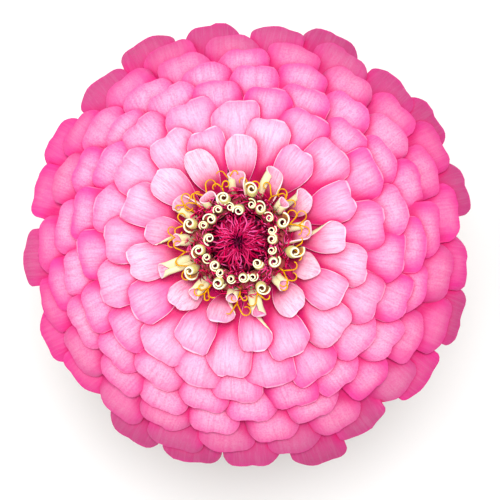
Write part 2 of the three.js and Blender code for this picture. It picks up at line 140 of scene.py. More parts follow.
def bladePlace(azimuth, curve, halfWidth, bowl, folds=None, roll=0, wave=None, blunt=None):
    # puts (u, x) of a blade, root to tip and edge to edge, on a bend at an azimuth
    out, side, up = polar(1, azimuth), crosswise(azimuth), Vector((0, 0, 1))

    def place(u, x):
        t = clamp(u - (blunt(u, x) if blunt else 0), 0, 1)
        p, d = curve(t)
        turn = Quaternion(out * d.x + up * d.y, roll)
        normal = turn @ (up * d.x - out * d.y)
        fold = folds(t, x) if folds else (0, 0, 1)
        sideways, lift = crossSection(halfWidth(t), bowl(t), fold, x)
        if wave:
            lift += wave(u, x)
        return out * p.x + up * p.y + (turn @ side) * sideways + normal * lift

    return place


def strandPlace(points, radii):
    # puts (u, x) of a sheet round a thread: u along it and x once round
    last = len(points) - 1
    across = (points[1] - points[0]).orthogonal().normalized()
    rings = []
    for i, point in enumerate(points):
        ahead = (points[min(i + 1, last)] - points[max(i - 1, 0)]).normalized()
        across = (across - ahead * across.dot(ahead)).normalized()
        rings.append((across.copy(), ahead.cross(across)))

    def place(u, x):
        i = round(u * last)
        a, b = rings[i]
        return points[i] + (a * math.cos(math.pi * x) + b * math.sin(math.pi * x)) * radii[i]

    return place


def growSheet(bm, columns, rows, place, spacing=None, crisp=False, **marks):
    # a grid whose (u, x) is moved to where place says, with its UV map and its marks
    uvMap = bm.loops.layers.uv.verify()
    for name in marks:
        if name not in bm.verts.layers.float:
            bm.verts.layers.float.new(name)
    layers = {name: bm.verts.layers.float[name] for name in marks}
    verts = bmesh.ops.create_grid(bm, x_segments=columns, y_segments=rows, size=1)["verts"]
    where = {}
    for vert in verts:
        u, x = (vert.co.y + 1) / 2, -vert.co.x
        where[vert] = spacing(u, x) if spacing else (u, x)
    faces = {face for vert in verts for face in vert.link_faces}
    for face in faces:
        face.smooth = True
        for loop in face.loops:
            u, x = where[loop.vert]
            loop[uvMap].uv = ((x + 1) / 2, u)
    if crisp:  # the outline is shaded as an edge once the sheet has its thickness
        for edge in {edge for face in faces for edge in face.edges}:
            edge.smooth = not edge.is_boundary
    for name, value in marks.items():
        for vert in verts:
            vert[layers[name]] = value(*where[vert]) if callable(value) else value
    for vert in verts:
        vert.co = place(*where[vert])


def growStrand(bm, points, radii, sides, **marks):
    growSheet(bm, sides, len(points) - 1, strandPlace(points, radii), **marks)


def closeStrands(bm):
    # the seams of tubes and the ends of threads are merged, and open ends capped
    bmesh.ops.remove_doubles(bm, verts=bm.verts, dist=0.002)
    openEdges = [edge for edge in bm.edges if edge.is_boundary]
    bmesh.ops.holes_fill(bm, edges=openEdges, sides=0)
    bmesh.ops.recalc_face_normals(bm, faces=bm.faces)


def turned(profile, steps):
    # a closed shape turned about the axis from (radius, height) pairs
    bm = bmesh.new()
    verts = [bm.verts.new((r, 0, z)) for r, z in profile]
    edges = [bm.edges.new(pair) for pair in zip(verts, verts[1:])]
    bmesh.ops.spin(bm, geom=verts + edges, cent=(0, 0, 0), axis=(0, 0, 1), dvec=(0, 0, 0),
                   angle=math.tau, steps=steps, use_merge=True, use_duplicate=False)
    bmesh.ops.remove_doubles(bm, verts=bm.verts, dist=0.001)
    bmesh.ops.recalc_face_normals(bm, faces=bm.faces)
    for face in bm.faces:
        face.smooth = True
    return bm


def meshFrom(bm, name):
    mesh = bpy.data.meshes.new(name)
    bm.to_mesh(mesh)
    bm.free()
    return mesh


def putInScene(name, data):
    made = bpy.data.objects.new(name, data)
    bpy.context.scene.collection.objects.link(made)
    return made


def softenEdges(piece, width, overDeg):
    soft = piece.modifiers.new("soft edges", "BEVEL")
    soft.width = width * mm
    soft.segments = 3
    soft.limit_method = "ANGLE"
    soft.angle_limit = math.radians(overDeg)


def makePiece(name, bm, nodes, materials, place=None, solid=0, bevel=0):
    # a finished piece: in metres, on its body, standing for its CAD nodes
    bmesh.ops.transform(bm, matrix=Matrix.Scale(mm, 4) @ (place or Matrix()), verts=bm.verts)
    mesh = meshFrom(bm, name)
    for material in materials:
        mesh.materials.append(material)
    piece = putInScene(name, mesh)
    if solid:
        shell = piece.modifiers.new("thickness", "SOLIDIFY")
        shell.thickness = solid * mm
        shell.offset = 0
        shell.material_offset = 1  # the underside, and 2 for the rim
        shell.material_offset_rim = 2
    if bevel:
        softenEdges(piece, bevel, 30)
    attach(piece, "root")
    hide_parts(*nodes)
    print(f"{name}: {len(mesh.polygons)} faces")
    return piece


# small tools for materials

def newMaterial(name, roughness, sockets=None):
    # sockets holds the other values that are the same all over
    material = bpy.data.materials.new(name)
    material.use_nodes = True
    shader = material.node_tree.nodes["Principled BSDF"]
    shader.inputs["Roughness"].default_value = roughness
    for socket, value in (sockets or {}).items():
        shader.inputs[socket].default_value = value
    return material, material.node_tree, shader


def addNode(tree, kind, inputs=None, **settings):
    made = tree.nodes.new(kind)
    for name, value in settings.items():
        setattr(made, name, value)
    for socket, value in (inputs or {}).items():
        if isinstance(value, bpy.types.NodeSocket):
            tree.links.new(value, made.inputs[socket])
        else:
            made.inputs[socket].default_value = value
    return made


def ramp(share, stops, ease="LINEAR"):
    made = addNode(share.id_data, "ShaderNodeValToRGB", {"Fac": share})
    made.color_ramp.interpolation = ease
    elements = made.color_ramp.elements
    while len(elements) < len(stops):
        elements.new(0.5)
    for element, (place, colour) in zip(elements, stops):
        element.position = place
        element.color = (*colour, 1) if isinstance(colour, tuple) else (colour,) * 3 + (1,)
    return made.outputs["Color"]


def blendColours(share, first, second):
    inputs = {0: share, 6: first, 7: (*second, 1)}
    return addNode(share.id_data, "ShaderNodeMix", inputs, data_type="RGBA").outputs[2]


def sums(how, first, second=0.0):
    inputs = {0: first, 1: second}
    return addNode(first.id_data, "ShaderNodeMath", inputs, operation=how).outputs[0]


def times(first, second):
    return sums("MULTIPLY", first, second)


def timesPlus(first, second, third):
    inputs = {0: first, 1: second, 2: third}
    return addNode(first.id_data, "ShaderNodeMath", inputs, operation="MULTIPLY_ADD").outputs[0]


def attribute(tree, name):
    # a mark that growSheet left on the mesh
    return addNode(tree, "ShaderNodeAttribute", attribute_name=name).outputs["Fac"]


def bladeCoordinates(tree):
    # the place across and along a blade and out from its middle line, and the blade's own tone
    uvMap = addNode(tree, "ShaderNodeUVMap").outputs["UV"]
    split = addNode(tree, "ShaderNodeSeparateXYZ", {0: uvMap})
    middle = sums("SUBTRACT", split.outputs["X"], 0.5)
    return {"across": split.outputs["X"], "along": split.outputs["Y"],
            "fromMiddle": times(sums("ABSOLUTE", middle), 2.0),
            "tone": attribute(tree, "tone")}


def lengthwiseLines(blade, fineness, stretch, roughness=0.6, wander=0.5):
    # fine lines that run along a blade and differ from one to the next
    tree = blade["along"].id_data
    where = addNode(tree, "ShaderNodeCombineXYZ",
                    {0: times(blade["across"], fineness), 1: times(blade["along"], stretch),
                     2: timesPlus(blade["tone"], 7.3, 0.5)})
    return addNode(tree, "ShaderNodeTexNoise",
                   {"Vector": where.outputs[0], "Scale": 1.0, "Detail": 3.0,
                    "Roughness": roughness, "Distortion": wander}).outputs["Fac"]


def mottle(tree, scale, detail=3.0):
    where = addNode(tree, "ShaderNodeTexCoord").outputs["Object"]
    return addNode(tree, "ShaderNodeTexNoise",
                   {"Vector": where, "Scale": scale, "Detail": detail}).outputs["Fac"]


def addBump(shader, height, strength, depth):
    bump = addNode(shader.id_data, "ShaderNodeBump",
                   {"Height": height, "Strength": strength, "Distance": depth * mm})
    shader.id_data.links.new(bump.outputs["Normal"], shader.inputs["Normal"])


def paint(shader, colour):
    shader.id_data.links.new(colour, shader.inputs["Base Color"])


def mottledMaterial(name, roughness, specular, scale, stops, detail=3.0, bump=None):
    # a finish of drifting colour; bump is its scale, strength and depth
    material, tree, shader = newMaterial(name, roughness, {"Specular IOR Level": specular})
    paint(shader, ramp(mottle(tree, scale, detail), stops))
    if bump:
        bumpScale, strength, depth = bump
        addBump(shader, mottle(tree, bumpScale, detail), strength, depth)
    return material


# petal colours

petalPaint = {
    # colour by age; the darkest stop, on the oldest and lowest rim petals, is partly painted shade
    "byAgeAndRimShade": [
        (0.0, (0.97, 0.7, 0.77)),
        (0.08, (0.95, 0.49, 0.64)),
        (0.3, (0.9, 0.085, 0.345)),
        (0.5, (0.89, 0.068, 0.36)),
        (0.68, (0.84, 0.045, 0.3)),
        (1.0, (0.54, 0.002, 0.14)),
    ],
    "shadeUnderNeighbours": (0.64, 0.01, 0.15),  # painted shade under the neighbours' tips
    # the foot: partly the petal's own deeper base, partly painted shade among the other petals
    "foot": (0.42, 0.001, 0.05),
    "line": (0.72, 0.012, 0.17),
    # pale pink for lighter petals, mottling and streaks, and for the painted highlight near the tip
    "pale": (0.96, 0.52, 0.7),
    # deeper pink for darker petals, grain and the young petals' foot, and for the painted shade along
    # the edges
    "edge": (0.84, 0.03, 0.3),
    # partly the young petals' own pale margin, partly a painted highlight
    "rimLine": (0.97, 0.6, 0.76),
    "tipReach": 20.0,  # millimetres from the tip that count as 1
    "deepFrom": 7.8,  # millimetres in from the outline where the painted shade starts to deepen the colour
    "deepTo": 12.5,
    "shownMore": 4.5,  # young petals show more of their length
    "deepSides": 5.5,  # the sides are covered by neighbours nearer to the tip
    "dusky": (0.4, 0.03, 0.15),  # painted shade on some of the oldest
    "contactShadow": (0.64, 0.003, 0.13),  # painted contact shadow, a narrow line where petals touch
    "contactReach": 3.2,
}


def petalCoordinates(tree):
    # what the colour of a petal goes by: where on it, how old it is, and its own tone
    blade = bladeCoordinates(tree)
    age, gap = attribute(tree, "age"), attribute(tree, "gap")
    return {**blade, "age": age, "gap": gap,
            "nearTip": sums("DIVIDE", gap, petalPaint["tipReach"]),
            "toneShare": timesPlus(blade["tone"], 0.5, 0.5),
            "fresh": ramp(age, [(0.55, 1.0), (0.9, 0.2)]),
            "old": ramp(age, [(0.55, 0.0), (0.85, 1.0)])}


def petalTones(tree, blade):
    # the colour by age, lighter or darker from petal to petal, with a painted highlight near the tip
    age, fresh = blade["age"], blade["fresh"]
    body = ramp(age, petalPaint["byAgeAndRimShade"])
    light = ramp(blade["toneShare"], [(0.2, 0.0), (1.0, 0.4)])
    body = blendColours(times(light, fresh), body, petalPaint["pale"])
    dark = ramp(blade["toneShare"], [(0.0, 0.6), (0.5, 0.0)])
    body = blendColours(dark, body, petalPaint["edge"])
    # painted highlight: paler near the tip and along the middle
    paintedHighlight = times(ramp(blade["nearTip"], [(0.0, 0.0), (0.16, 1.0), (0.3, 0.85), (0.5, 0.0)]),
                  ramp(blade["fromMiddle"], [(0.25, 0.62), (0.85, 0.0)]))
    body = blendColours(times(paintedHighlight, fresh), body, petalPaint["pale"])
    cloud = ramp(mottle(tree, 300.0), [(0.35, 0.0), (0.7, 0.12)])
    body = blendColours(times(cloud, fresh), body, petalPaint["pale"])
    # deeper towards the foot of the young petals: partly their own colour, partly painted shade
    footDeepening = times(ramp(blade["along"], [(0.45, 0.55), (0.85, 0.0)], "EASE"),
                  ramp(age, [(0.0, 0.4), (0.06, 1.0), (0.4, 0.0)]))
    body = blendColours(footDeepening, body, petalPaint["edge"])
    grain = times(ramp(mottle(tree, 2200.0, 1.0), [(0.42, 0.0), (0.68, 0.34)]),
                  ramp(age, [(0.05, 0.35), (0.4, 1.0)]))
    return blendColours(grain, body, petalPaint["edge"])


def petalDepth(tree, blade, body):
    # painted shade deeper inwards under the neighbours, a deeper foot, and painted dusky shade on some
    # of the oldest
    age = blade["age"]
    sides = times(blade["fromMiddle"], petalPaint["deepSides"])
    shown = times(ramp(age, [(0.06, 1.0), (0.3, 0.0)]), petalPaint["shownMore"])
    inward = sums("SUBTRACT", sums("ADD", blade["gap"], sides), shown)
    # painted shade: the colour deepens where the neighbours cover the petal
    deep = addNode(tree, "ShaderNodeMapRange",
                   {"Value": inward, "From Min": petalPaint["deepFrom"],
                    "From Max": petalPaint["deepTo"]}, interpolation_type="SMOOTHSTEP").outputs[0]
    deep = times(deep, ramp(age, [(0.0, 0.3), (0.14, 1.0)]))
    body = blendColours(deep, body, petalPaint["shadeUnderNeighbours"])
    # painted dusky shade on old petals whose tone is high
    oldShade = times(blade["old"], ramp(blade["toneShare"], [(0.3, 0.0), (1.0, 0.62)]))
    body = blendColours(oldShade, body, petalPaint["dusky"])
    # deeper at the foot: partly the petal's own base colour, partly painted shade among the other
    # petals
    youngest = ramp(age, [(0.0, 0.05), (0.12, 0.0)])
    foot = ramp(sums("SUBTRACT", blade["along"], youngest), [(0.25, 1.0), (0.6, 0.0)], "EASE")
    return blendColours(foot, body, petalPaint["foot"])


def petalLines(tree, blade, body):
    # fine lines along it, painted shade along the edges, a pale line at the very edge that is partly a
    # painted highlight, and painted contact shadow where petals touch
    age = blade["age"]
    lines = lengthwiseLines(blade, 18.0, 4.0, 0.66, 1.0)
    thin = times(ramp(lines, [(0.46, 0.0), (0.64, 1.0)]),
                 ramp(age, [(0.0, 0.4), (0.2, 0.28), (0.55, 0.26), (0.85, 0.12)]))
    body = blendColours(thin, body, petalPaint["line"])
    streak = times(ramp(lines, [(0.36, 0.06), (0.54, 0.0)]), blade["old"])
    body = blendColours(streak, body, petalPaint["pale"])
    # painted shade along the sides and at the tip, where the petal turns away from the light
    side = ramp(blade["fromMiddle"], [(0.55, 0.0), (0.95, 0.28)])
    end = ramp(blade["nearTip"], [(0.0, 0.5), (0.03, 0.2), (0.1, 0.0)])
    body = blendColours(sums("MAXIMUM", side, end), body, petalPaint["edge"])
    # a pale line at the very edge of the young petals: partly their own pale margin, partly a painted
    # highlight
    rim = sums("MAXIMUM", ramp(blade["fromMiddle"], [(0.955, 0.0), (0.985, 1.0)]),
               ramp(blade["nearTip"], [(0.012, 1.0), (0.026, 0.0)]))
    rim = times(rim, ramp(age, [(0.05, 0.9), (0.25, 0.4), (0.6, 0.0)]))
    body = blendColours(rim, body, petalPaint["rimLine"])
    # painted contact shadow: darker where other petals are close
    free = addNode(tree, "ShaderNodeAmbientOcclusion",
                   {"Distance": petalPaint["contactReach"] * mm}, samples=8).outputs["AO"]
    contactShadow = times(ramp(free, [(0.64, 1.0), (0.86, 0.5), (0.96, 0.0)]),
                    ramp(age, [(0.02, 0.25), (0.12, 1.0)]))
    return blendColours(contactShadow, body, petalPaint["contactShadow"])


def petalFaceMaterial():
    material, tree, shader = newMaterial(
        "petal face", 0.55,
        {"Specular IOR Level": 0.3, "Sheen Weight": 0.08, "Sheen Roughness": 0.4})
    blade = petalCoordinates(tree)
    body = petalDepth(tree, blade, petalTones(tree, blade))
    paint(shader, petalLines(tree, blade, body))
    ribs = lengthwiseLines(blade, 34.0, 2.2, 0.7)
    addBump(shader, timesPlus(mottle(tree, 1800.0, 2.0), 0.7, ribs), 0.6, 0.2)
    return material


def petalBackMaterial():
    material, tree, shader = newMaterial("petal underside", 0.55, {"Sheen Weight": 0.1})
    blade, age = bladeCoordinates(tree), attribute(tree, "age")
    body = ramp(age, [(0.0, (0.88, 0.83, 0.5)), (0.1, (0.88, 0.76, 0.5)),
                      (0.2, (0.85, 0.34, 0.5)), (1.0, (0.78, 0.1, 0.34))])
    foot = times(ramp(blade["along"], [(0.1, 1.0), (0.5, 0.0)]),
                 ramp(age, [(0.1, 0.6), (0.3, 0.1)]))
    body = blendColours(foot, body, (0.42, 0.4, 0.1))
    lines = lengthwiseLines(blade, 14.0, 1.3)
    thin = times(ramp(lines, [(0.48, 0.0), (0.6, 1.0)]), 0.25)
    paint(shader, blendColours(thin, body, (0.66, 0.6, 0.24)))
    addBump(shader, lines, 0.4, 0.12)
    return material


def petalRimMaterial():
    material, tree, shader = newMaterial("petal rim", 0.5)
    age = attribute(tree, "age")
    body = ramp(age, [(0.0, (0.93, 0.62, 0.66)), (0.14, (0.93, 0.42, 0.6)),
                      (0.25, (0.88, 0.05, 0.28)), (1.0, (0.7, 0.01, 0.18))])
    spots = times(ramp(mottle(tree, 700.0), [(0.3, 0.0), (0.7, 1.0)]),
                  ramp(age, [(0.1, 0.3), (0.25, 0.0)]))
    paint(shader, blendColours(spots, body, petalPaint["pale"]))
    return material


petalLayers = [petalFaceMaterial(), petalBackMaterial(), petalRimMaterial()]
print("petal materials ready")


# where the bloom stands, and the spiral that all its rays are on

bloomSeat = {"height": 208, "tiltDeg": 4, "tiltTowardsDeg": 166}
spiral = {"turnDeg": 137.38, "startDeg": 344.4, "youngTwistDeg": 9, "firstRoll": -30,
          "firstLargeRoll": -22, "firstFolded": -12, "firstOpen": 0, "lastRay": 134}
head = {
    "coreBottom": 10.2,
    "coreTop": 32,
    "coreTopRadius": 12.6,
    "coreWaistRadius": 11.6,
    "coreFootRadius": 9.6,
    "rimLevel": 6,  # where the lowest petals end
    "rise": 36,  # from there to the top of the dome
    "domeRadius": 59,
    "domePower": 2.4,
    "spread": 60,  # limit that the petals' reach tends to
    "reachStart": -7.2,  # numbers of rays: where the reach starts, how softly and how fast
    "reachEase": 10,
    "reachSpan": 86,
    "rimSpread": 5.6,  # the oldest petals reach this much beyond it
    "rimFrom": 60,
}
collar = {"inner": 7.8, "outer": 12.2, "bottom": head["coreTop"] + seatGap,
          "top": head["coreTop"] + 2.2}

lean = math.radians(bloomSeat["tiltTowardsDeg"])
bloomFrame = (
    Matrix.Translation((0, 0, bloomSeat["height"]))
    @ Matrix.Rotation(math.radians(bloomSeat["tiltDeg"]), 4, crosswise(lean))
)


def rayReach(n):
    ease = head["reachEase"]
    soft = ease * math.log(1 + math.exp((n - head["reachStart"]) / ease))
    rim = head["rimSpread"] * smooth(n, head["rimFrom"], spiral["lastRay"])
    return head["spread"] * math.sqrt(1 - math.exp(-soft / head["reachSpan"])) + rim


def domeLevel(reach):
    fall = (reach / head["domeRadius"]) ** head["domePower"]
    return head["rimLevel"] + head["rise"] * (1 - fall)


def domeFallDeg(reach):
    share = (reach / head["domeRadius"]) ** (head["domePower"] - 1)
    return math.degrees(math.atan(head["rise"] * head["domePower"] * share / head["domeRadius"]))


def rayAzimuth(n):
    twist = spiral["youngTwistDeg"] * (1 - smooth(n, -8, 8))  # the youngest lean to one side
    return math.radians(spiral["startDeg"] + spiral["turnDeg"] * n - twist)


def coreRadius(z):
    share = (z - head["coreBottom"]) / (head["coreTop"] - head["coreBottom"])
    waist = mix(head["coreFootRadius"], head["coreWaistRadius"], smooth(share, 0, 0.5))
    return mix(waist, head["coreTopRadius"], smooth(share, 0.5, 1))


# open petals and the folded ones

petal = {
    "grid": (16, 24),  # columns across and rows along
    "foldedGrid": (22, 22),
    "middleFrom": 35,  # the first rays of the middle and the outer piece
    "outerFrom": 85,
    "thickness": 0.3,
    "width": 12.8,
    "youngWidth": 6.6,
    "foldedWidth": 1.48,  # times the width of an open one
    "tightWidth": 1.24,
    # how much longer or shorter some of the youngest rays are than their place on the spiral
    "extraReach": {1: 3, 2: -2.2, 3: -2.2, 5: -1.8, 6: 1.6, 7: -2.6},
    "rootDeg": 26,  # how steeply a blade leaves the core
    "youngRootDeg": 52,
    "oldRootDeg": -6,
    "tipDeg": 16,  # how far its tip turns up from the slope of the dome
    "youngTipDeg": 22,  # and from level
    "outline": [(0, 0.24), (0.2, 0.3), (0.36, 0.48), (0.5, 0.76), (0.62, 0.94), (0.72, 1), (1, 1)],
    "youngOutline": [(0, 0.28), (0.2, 0.48), (0.36, 0.78), (0.48, 0.94), (0.62, 1), (1, 1)],
    "foldedOutline": [(0, 0.4), (0.25, 0.8), (0.5, 1), (0.75, 0.96), (1, 0.8)],
    "tipLength": 0.4,  # how long the rounded end is, as a share of the width
    "youngTipLength": 0.72,
    "squareness": 2.8,  # 2 is an ellipse, more has fuller corners
    "skew": 0.2,
    "crownDeg": 19,  # how far the sides of an open petal turn down
    "boatDeg": 22,  # how far those of a young one turn up
    "droop": 0.5,
    "notch": 0.5,
    "lobe": 0.42,
    "pleat": 0.12,
    "ruffle": 0.7,
    "rolledTight": (-11, -10, -9, -8, -6, -3, -1),  # folded rays with both edges turned in
    "halfRolled": (3,),  # an open ray with one margin rolled well over
    "lastCurled": 12,  # the youngest open petals still have one side folded over
    # how far the margins are turned, along the blade and at its open end
    "tightDeg": (215, 176),
    "rollOverDeg": (208, 120),
    "standUpDeg": (92, 60),
    "halfRolledDeg": (208, 40),
    "foldDeg": 165,
    "shadedSideDeg": 82,  # old petals on this side and the one across get painted dusky shade
}
petalOutline = curveThrough(petal["outline"])
youngOutline = curveThrough(petal["youngOutline"])
foldedOutline = curveThrough(petal["foldedOutline"])


def petalBend(n, age, young, oldness, random, pose):
    # the same bend as the solid's ray n has, from the core or the collar, and its length
    reach = rayReach(n) * (1 + 0.018 * random()) + petal["extraReach"].get(n, 0)
    level = mix(head["coreTop"] - 1.2, head["coreBottom"] + 1.2, age**0.92)
    root = (coreRadius(level) - mix(1.6, 0.7, young), level)
    if n < spiral["firstOpen"]:
        root = (collar["outer"] - 0.9, collar["top"] - 0.8)
    tip = (reach, domeLevel(reach) + 1.1 * (1 - smooth(n, -14, 10)) - 0.4)
    tipDeg = mix(petal["tipDeg"] - domeFallDeg(reach), petal["youngTipDeg"], young)
    tipDeg = tipDeg + 2 * random() + 5 * pose() * (1 - young)
    rootDeg = mix(mix(petal["rootDeg"], petal["youngRootDeg"], young), petal["oldRootDeg"], oldness)
    curve = arc(root, rootDeg, tip, tipDeg, 0.36)
    stops = [curve(i / 16)[0] for i in range(17)]
    return curve, sum((b - a).length for a, b in zip(stops, stops[1:]))


def marginFold(n, u, x):
    # how far an edge is turned over, where across the blade the bend starts, and its width
    if n in petal["rolledTight"]:
        mouth = smooth(u, 0.78, 1)
        start = mix(0.02, 0.1, mouth) + 0.1 * (x < 0)
        return math.radians(mix(*petal["tightDeg"], mouth)), start, 0.8
    if n < spiral["firstOpen"]:
        # one margin rolls over and shows the cream underside, the other stands up
        mouth = smooth(u, 0.84, 1)
        if x > 0:
            return math.radians(mix(*petal["rollOverDeg"], mouth)), 0.08, 0.8
        return math.radians(mix(*petal["standUpDeg"], mouth)), 0, 1
    if x < 0:
        return 0, 0, 1
    if n in petal["halfRolled"]:
        return math.radians(mix(*petal["halfRolledDeg"], smooth(u, 0.76, 1))), 0.1, 0.8
    return math.radians(petal["foldDeg"]), mix(0.4, 1.02, smooth(u, 0.42, 0.95)), 0.28


def petalShape(n, random):
    # the solid's ray n with finer edges and folds
    own, pose = seeded(700 + n), seeded(1900 + n)
    folded = n < spiral["firstOpen"]
    tight = n in petal["rolledTight"]
    age = clamp(n / spiral["lastRay"], 0, 1)
    young = 1 - smooth(n, -4, 18)
    oldness = smooth(n, 30, spiral["lastRay"])
    curve, length = petalBend(n, age, young, oldness, random, pose)
    grown = smooth(n, -14, 36) if folded else smooth(n, -6, 34)
    width = mix(petal["youngWidth"], petal["width"], grown)
    if folded:
        width *= petal["tightWidth"] if tight else petal["foldedWidth"]
    else:
        width *= 1 + 0.17 * oldness + 0.06 * own()
    azimuth = rayAzimuth(n) + math.radians(1.4 * random())
    roll = 0.05 * random() + 0.09 * pose() * (1 - young)
    tipLength = mix(petal["tipLength"] - 0.1 * oldness, petal["youngTipLength"], young) * width
    tipLength = min(tipLength, 0.45 * length)
    phase, notch, ripple, crown = 3 * own(), 0.6 + 0.4 * own(), own(), own()
    square, skew = mix(petal["squareness"], 2, young) + 0.6 * own(), petal["skew"] * own()
    crownDeg = petal["crownDeg"] * (1 + 0.5 * crown)
    bowlEdge = math.radians(mix(-crownDeg, petal["boatDeg"], 1 - smooth(n, -8, 7)))
    curled = folded or n in petal["halfRolled"] or (n < petal["lastCurled"] and own() > 0.1)

    def fromTip(u, x):
        # millimetres from the tip, along the petal: the rows bend round the rounded end
        row = (1 - u) * length
        near = 1 - smooth(row, 0, 2.3 * tipLength)
        end = tipLength * (1 - max(0, 1 - (0.985 * abs(x)) ** square) ** (1 / square) + skew * x)
        end *= 0.8 if folded and not tight else 1
        dent = petal["notch"] * notch * math.exp(-((x / 0.17) ** 2)) * (1 - 0.85 * young)
        lobes = petal["lobe"] * math.sin(5.5 * x + phase) * (1 - young)
        return row + near * (end + dent + lobes)

    def halfWidth(u):
        if folded:
            return foldedOutline(u) * width / 2
        return mix(petalOutline(u), youngOutline(u), young) * width / 2

    def bowl(u):
        return bowlEdge * smooth(u, 0.1, 0.6)

    def folds(u, x):
        return marginFold(n, u, x)

    def wave(u, x):
        far, row = abs(x), (1 - u) * length
        pleats = math.exp(-(((far - 0.4) / 0.13) ** 2)) * (1 - smooth(row, 8, 16))
        ruffles = far**3 * math.sin(0.38 * row + phase) * (1 - smooth(row, 10, 20)) * (1 - young)
        droop = petal["droop"] * max(0, 1 - row / 6.5) ** 2 * (1 - young)
        return -petal["pleat"] * pleats + petal["ruffle"] * ripple * ruffles - droop

    def blunt(u, x):
        return u - (1 - fromTip(u, x) / length)

    place = bladePlace(azimuth, curve, halfWidth, bowl, folds if curled else None,
                       roll, wave, blunt)
    # painted shade: old petals on that side get their tone pushed up, which paints them dusky
    oldShade = oldness * smooth(abs(math.cos(azimuth - math.radians(petal["shadedSideDeg"]))), 0.6, 0.95)
    return place, fromTip, age, mix(own(), 1, 0.9 * oldShade)


def petalSpacing(u, x):
    # rows crowd towards the tip and columns towards the edges
    return 1 - (1 - u) ** 1.25, math.sin(x * math.pi / 2)


def makePetals(name, node, rays, random, grid):
    bm = bmesh.new()
    for n in rays:
        place, fromTip, age, tone = petalShape(n, random)
        growSheet(bm, *grid, place, petalSpacing, crisp=True, age=age, tone=tone, gap=fromTip)
    makePiece(name, bm, [node], petalLayers, bloomFrame, petal["thickness"])


openDraws = seeded(11)
for name, first, last in (("young_petals", spiral["firstOpen"], petal["middleFrom"]),
                          ("middle_petals", petal["middleFrom"], petal["outerFrom"]),
                          ("outer_petals", petal["outerFrom"], spiral["lastRay"] + 1)):
    makePetals(name, "ray_petals", range(first, last), openDraws, petal["grid"])
makePetals("folded_petals", "inner_rays",
           range(spiral["firstFolded"], spiral["firstOpen"]), seeded(19), petal["foldedGrid"])


# the core that the petals stand on

coreFinish = mottledMaterial("head core", 0.8, 0.1, 500.0,
                             [(0.35, (0.26, 0.04, 0.03)), (0.65, (0.52, 0.09, 0.1))],
                             bump=(500.0, 0.6, 0.4))

coreLevels = [mix(head["coreBottom"], head["coreTop"], i / 12) for i in range(13)]
coreSide = [(coreRadius(z), z) for z in coreLevels]
makePiece("head_core", turned([(0, head["coreBottom"]), *coreSide, (0, head["coreTop"])], 64),
          ["ray_petals"], [coreFinish], bloomFrame, bevel=0.5)


# rays still rolled up like quills

scroll = {
    "grid": (40, 12),
    "budGrid": (28, 8),
    "buds": 11,  # tiny ones in front of the others
    "thickness": 0.36,
    "smallThickness": 0.3,
    "budThickness": 0.24,
    "height": (8, 9.6),  # from the youngest to the oldest
    "budHeight": 7.9,
    "mouth": (0.8, 1.16),  # the radius at the top
    "budMouth": 0.5,
    "budReach": 8.6,
    "turnsDeg": (580, 500),
    "looseEndDeg": 80,  # from the ray's own direction
    "pitch": 1.55,  # of the windings, in thicknesses
    "hole": 0.2,
    "tail": 0.5,  # how far the loose end stands off
    "belly": 0.34,
    "innerHigher": 0.4,
}


def scrollFaceMaterial():
    material, tree, shader = newMaterial("scroll inside", 0.6)
    blade = bladeCoordinates(tree)
    # darker towards the foot: painted shade down inside the roll
    body = ramp(blade["along"], [(0.5, (0.3, 0.04, 0.04)), (0.82, (0.56, 0.26, 0.05)),
                                 (1.0, (0.84, 0.66, 0.16))])
    lines = times(lengthwiseLines(blade, 20.0, 2.0), 0.3)
    paint(shader, blendColours(lines, body, (0.8, 0.3, 0.3)))
    return material


def scrollBackMaterial():
    material, tree, shader = newMaterial("scroll outside", 0.45, {"Sheen Weight": 0.15})
    blade = bladeCoordinates(tree)
    # darker towards the foot: painted shade low among the disc, yellow at the top
    body = ramp(blade["along"], [(0.2, (0.22, 0.12, 0.03)), (0.6, (0.6, 0.42, 0.06)),
                                 (0.88, (0.82, 0.76, 0.22)), (1.0, (0.9, 0.87, 0.4))])
    lines = lengthwiseLines(blade, 16.0, 1.0)
    thin = times(ramp(lines, [(0.45, 0.0), (0.62, 1.0)]), 0.3)
    paint(shader, blendColours(thin, body, (0.6, 0.56, 0.2)))
    addBump(shader, lines, 0.4, 0.1)
    return material


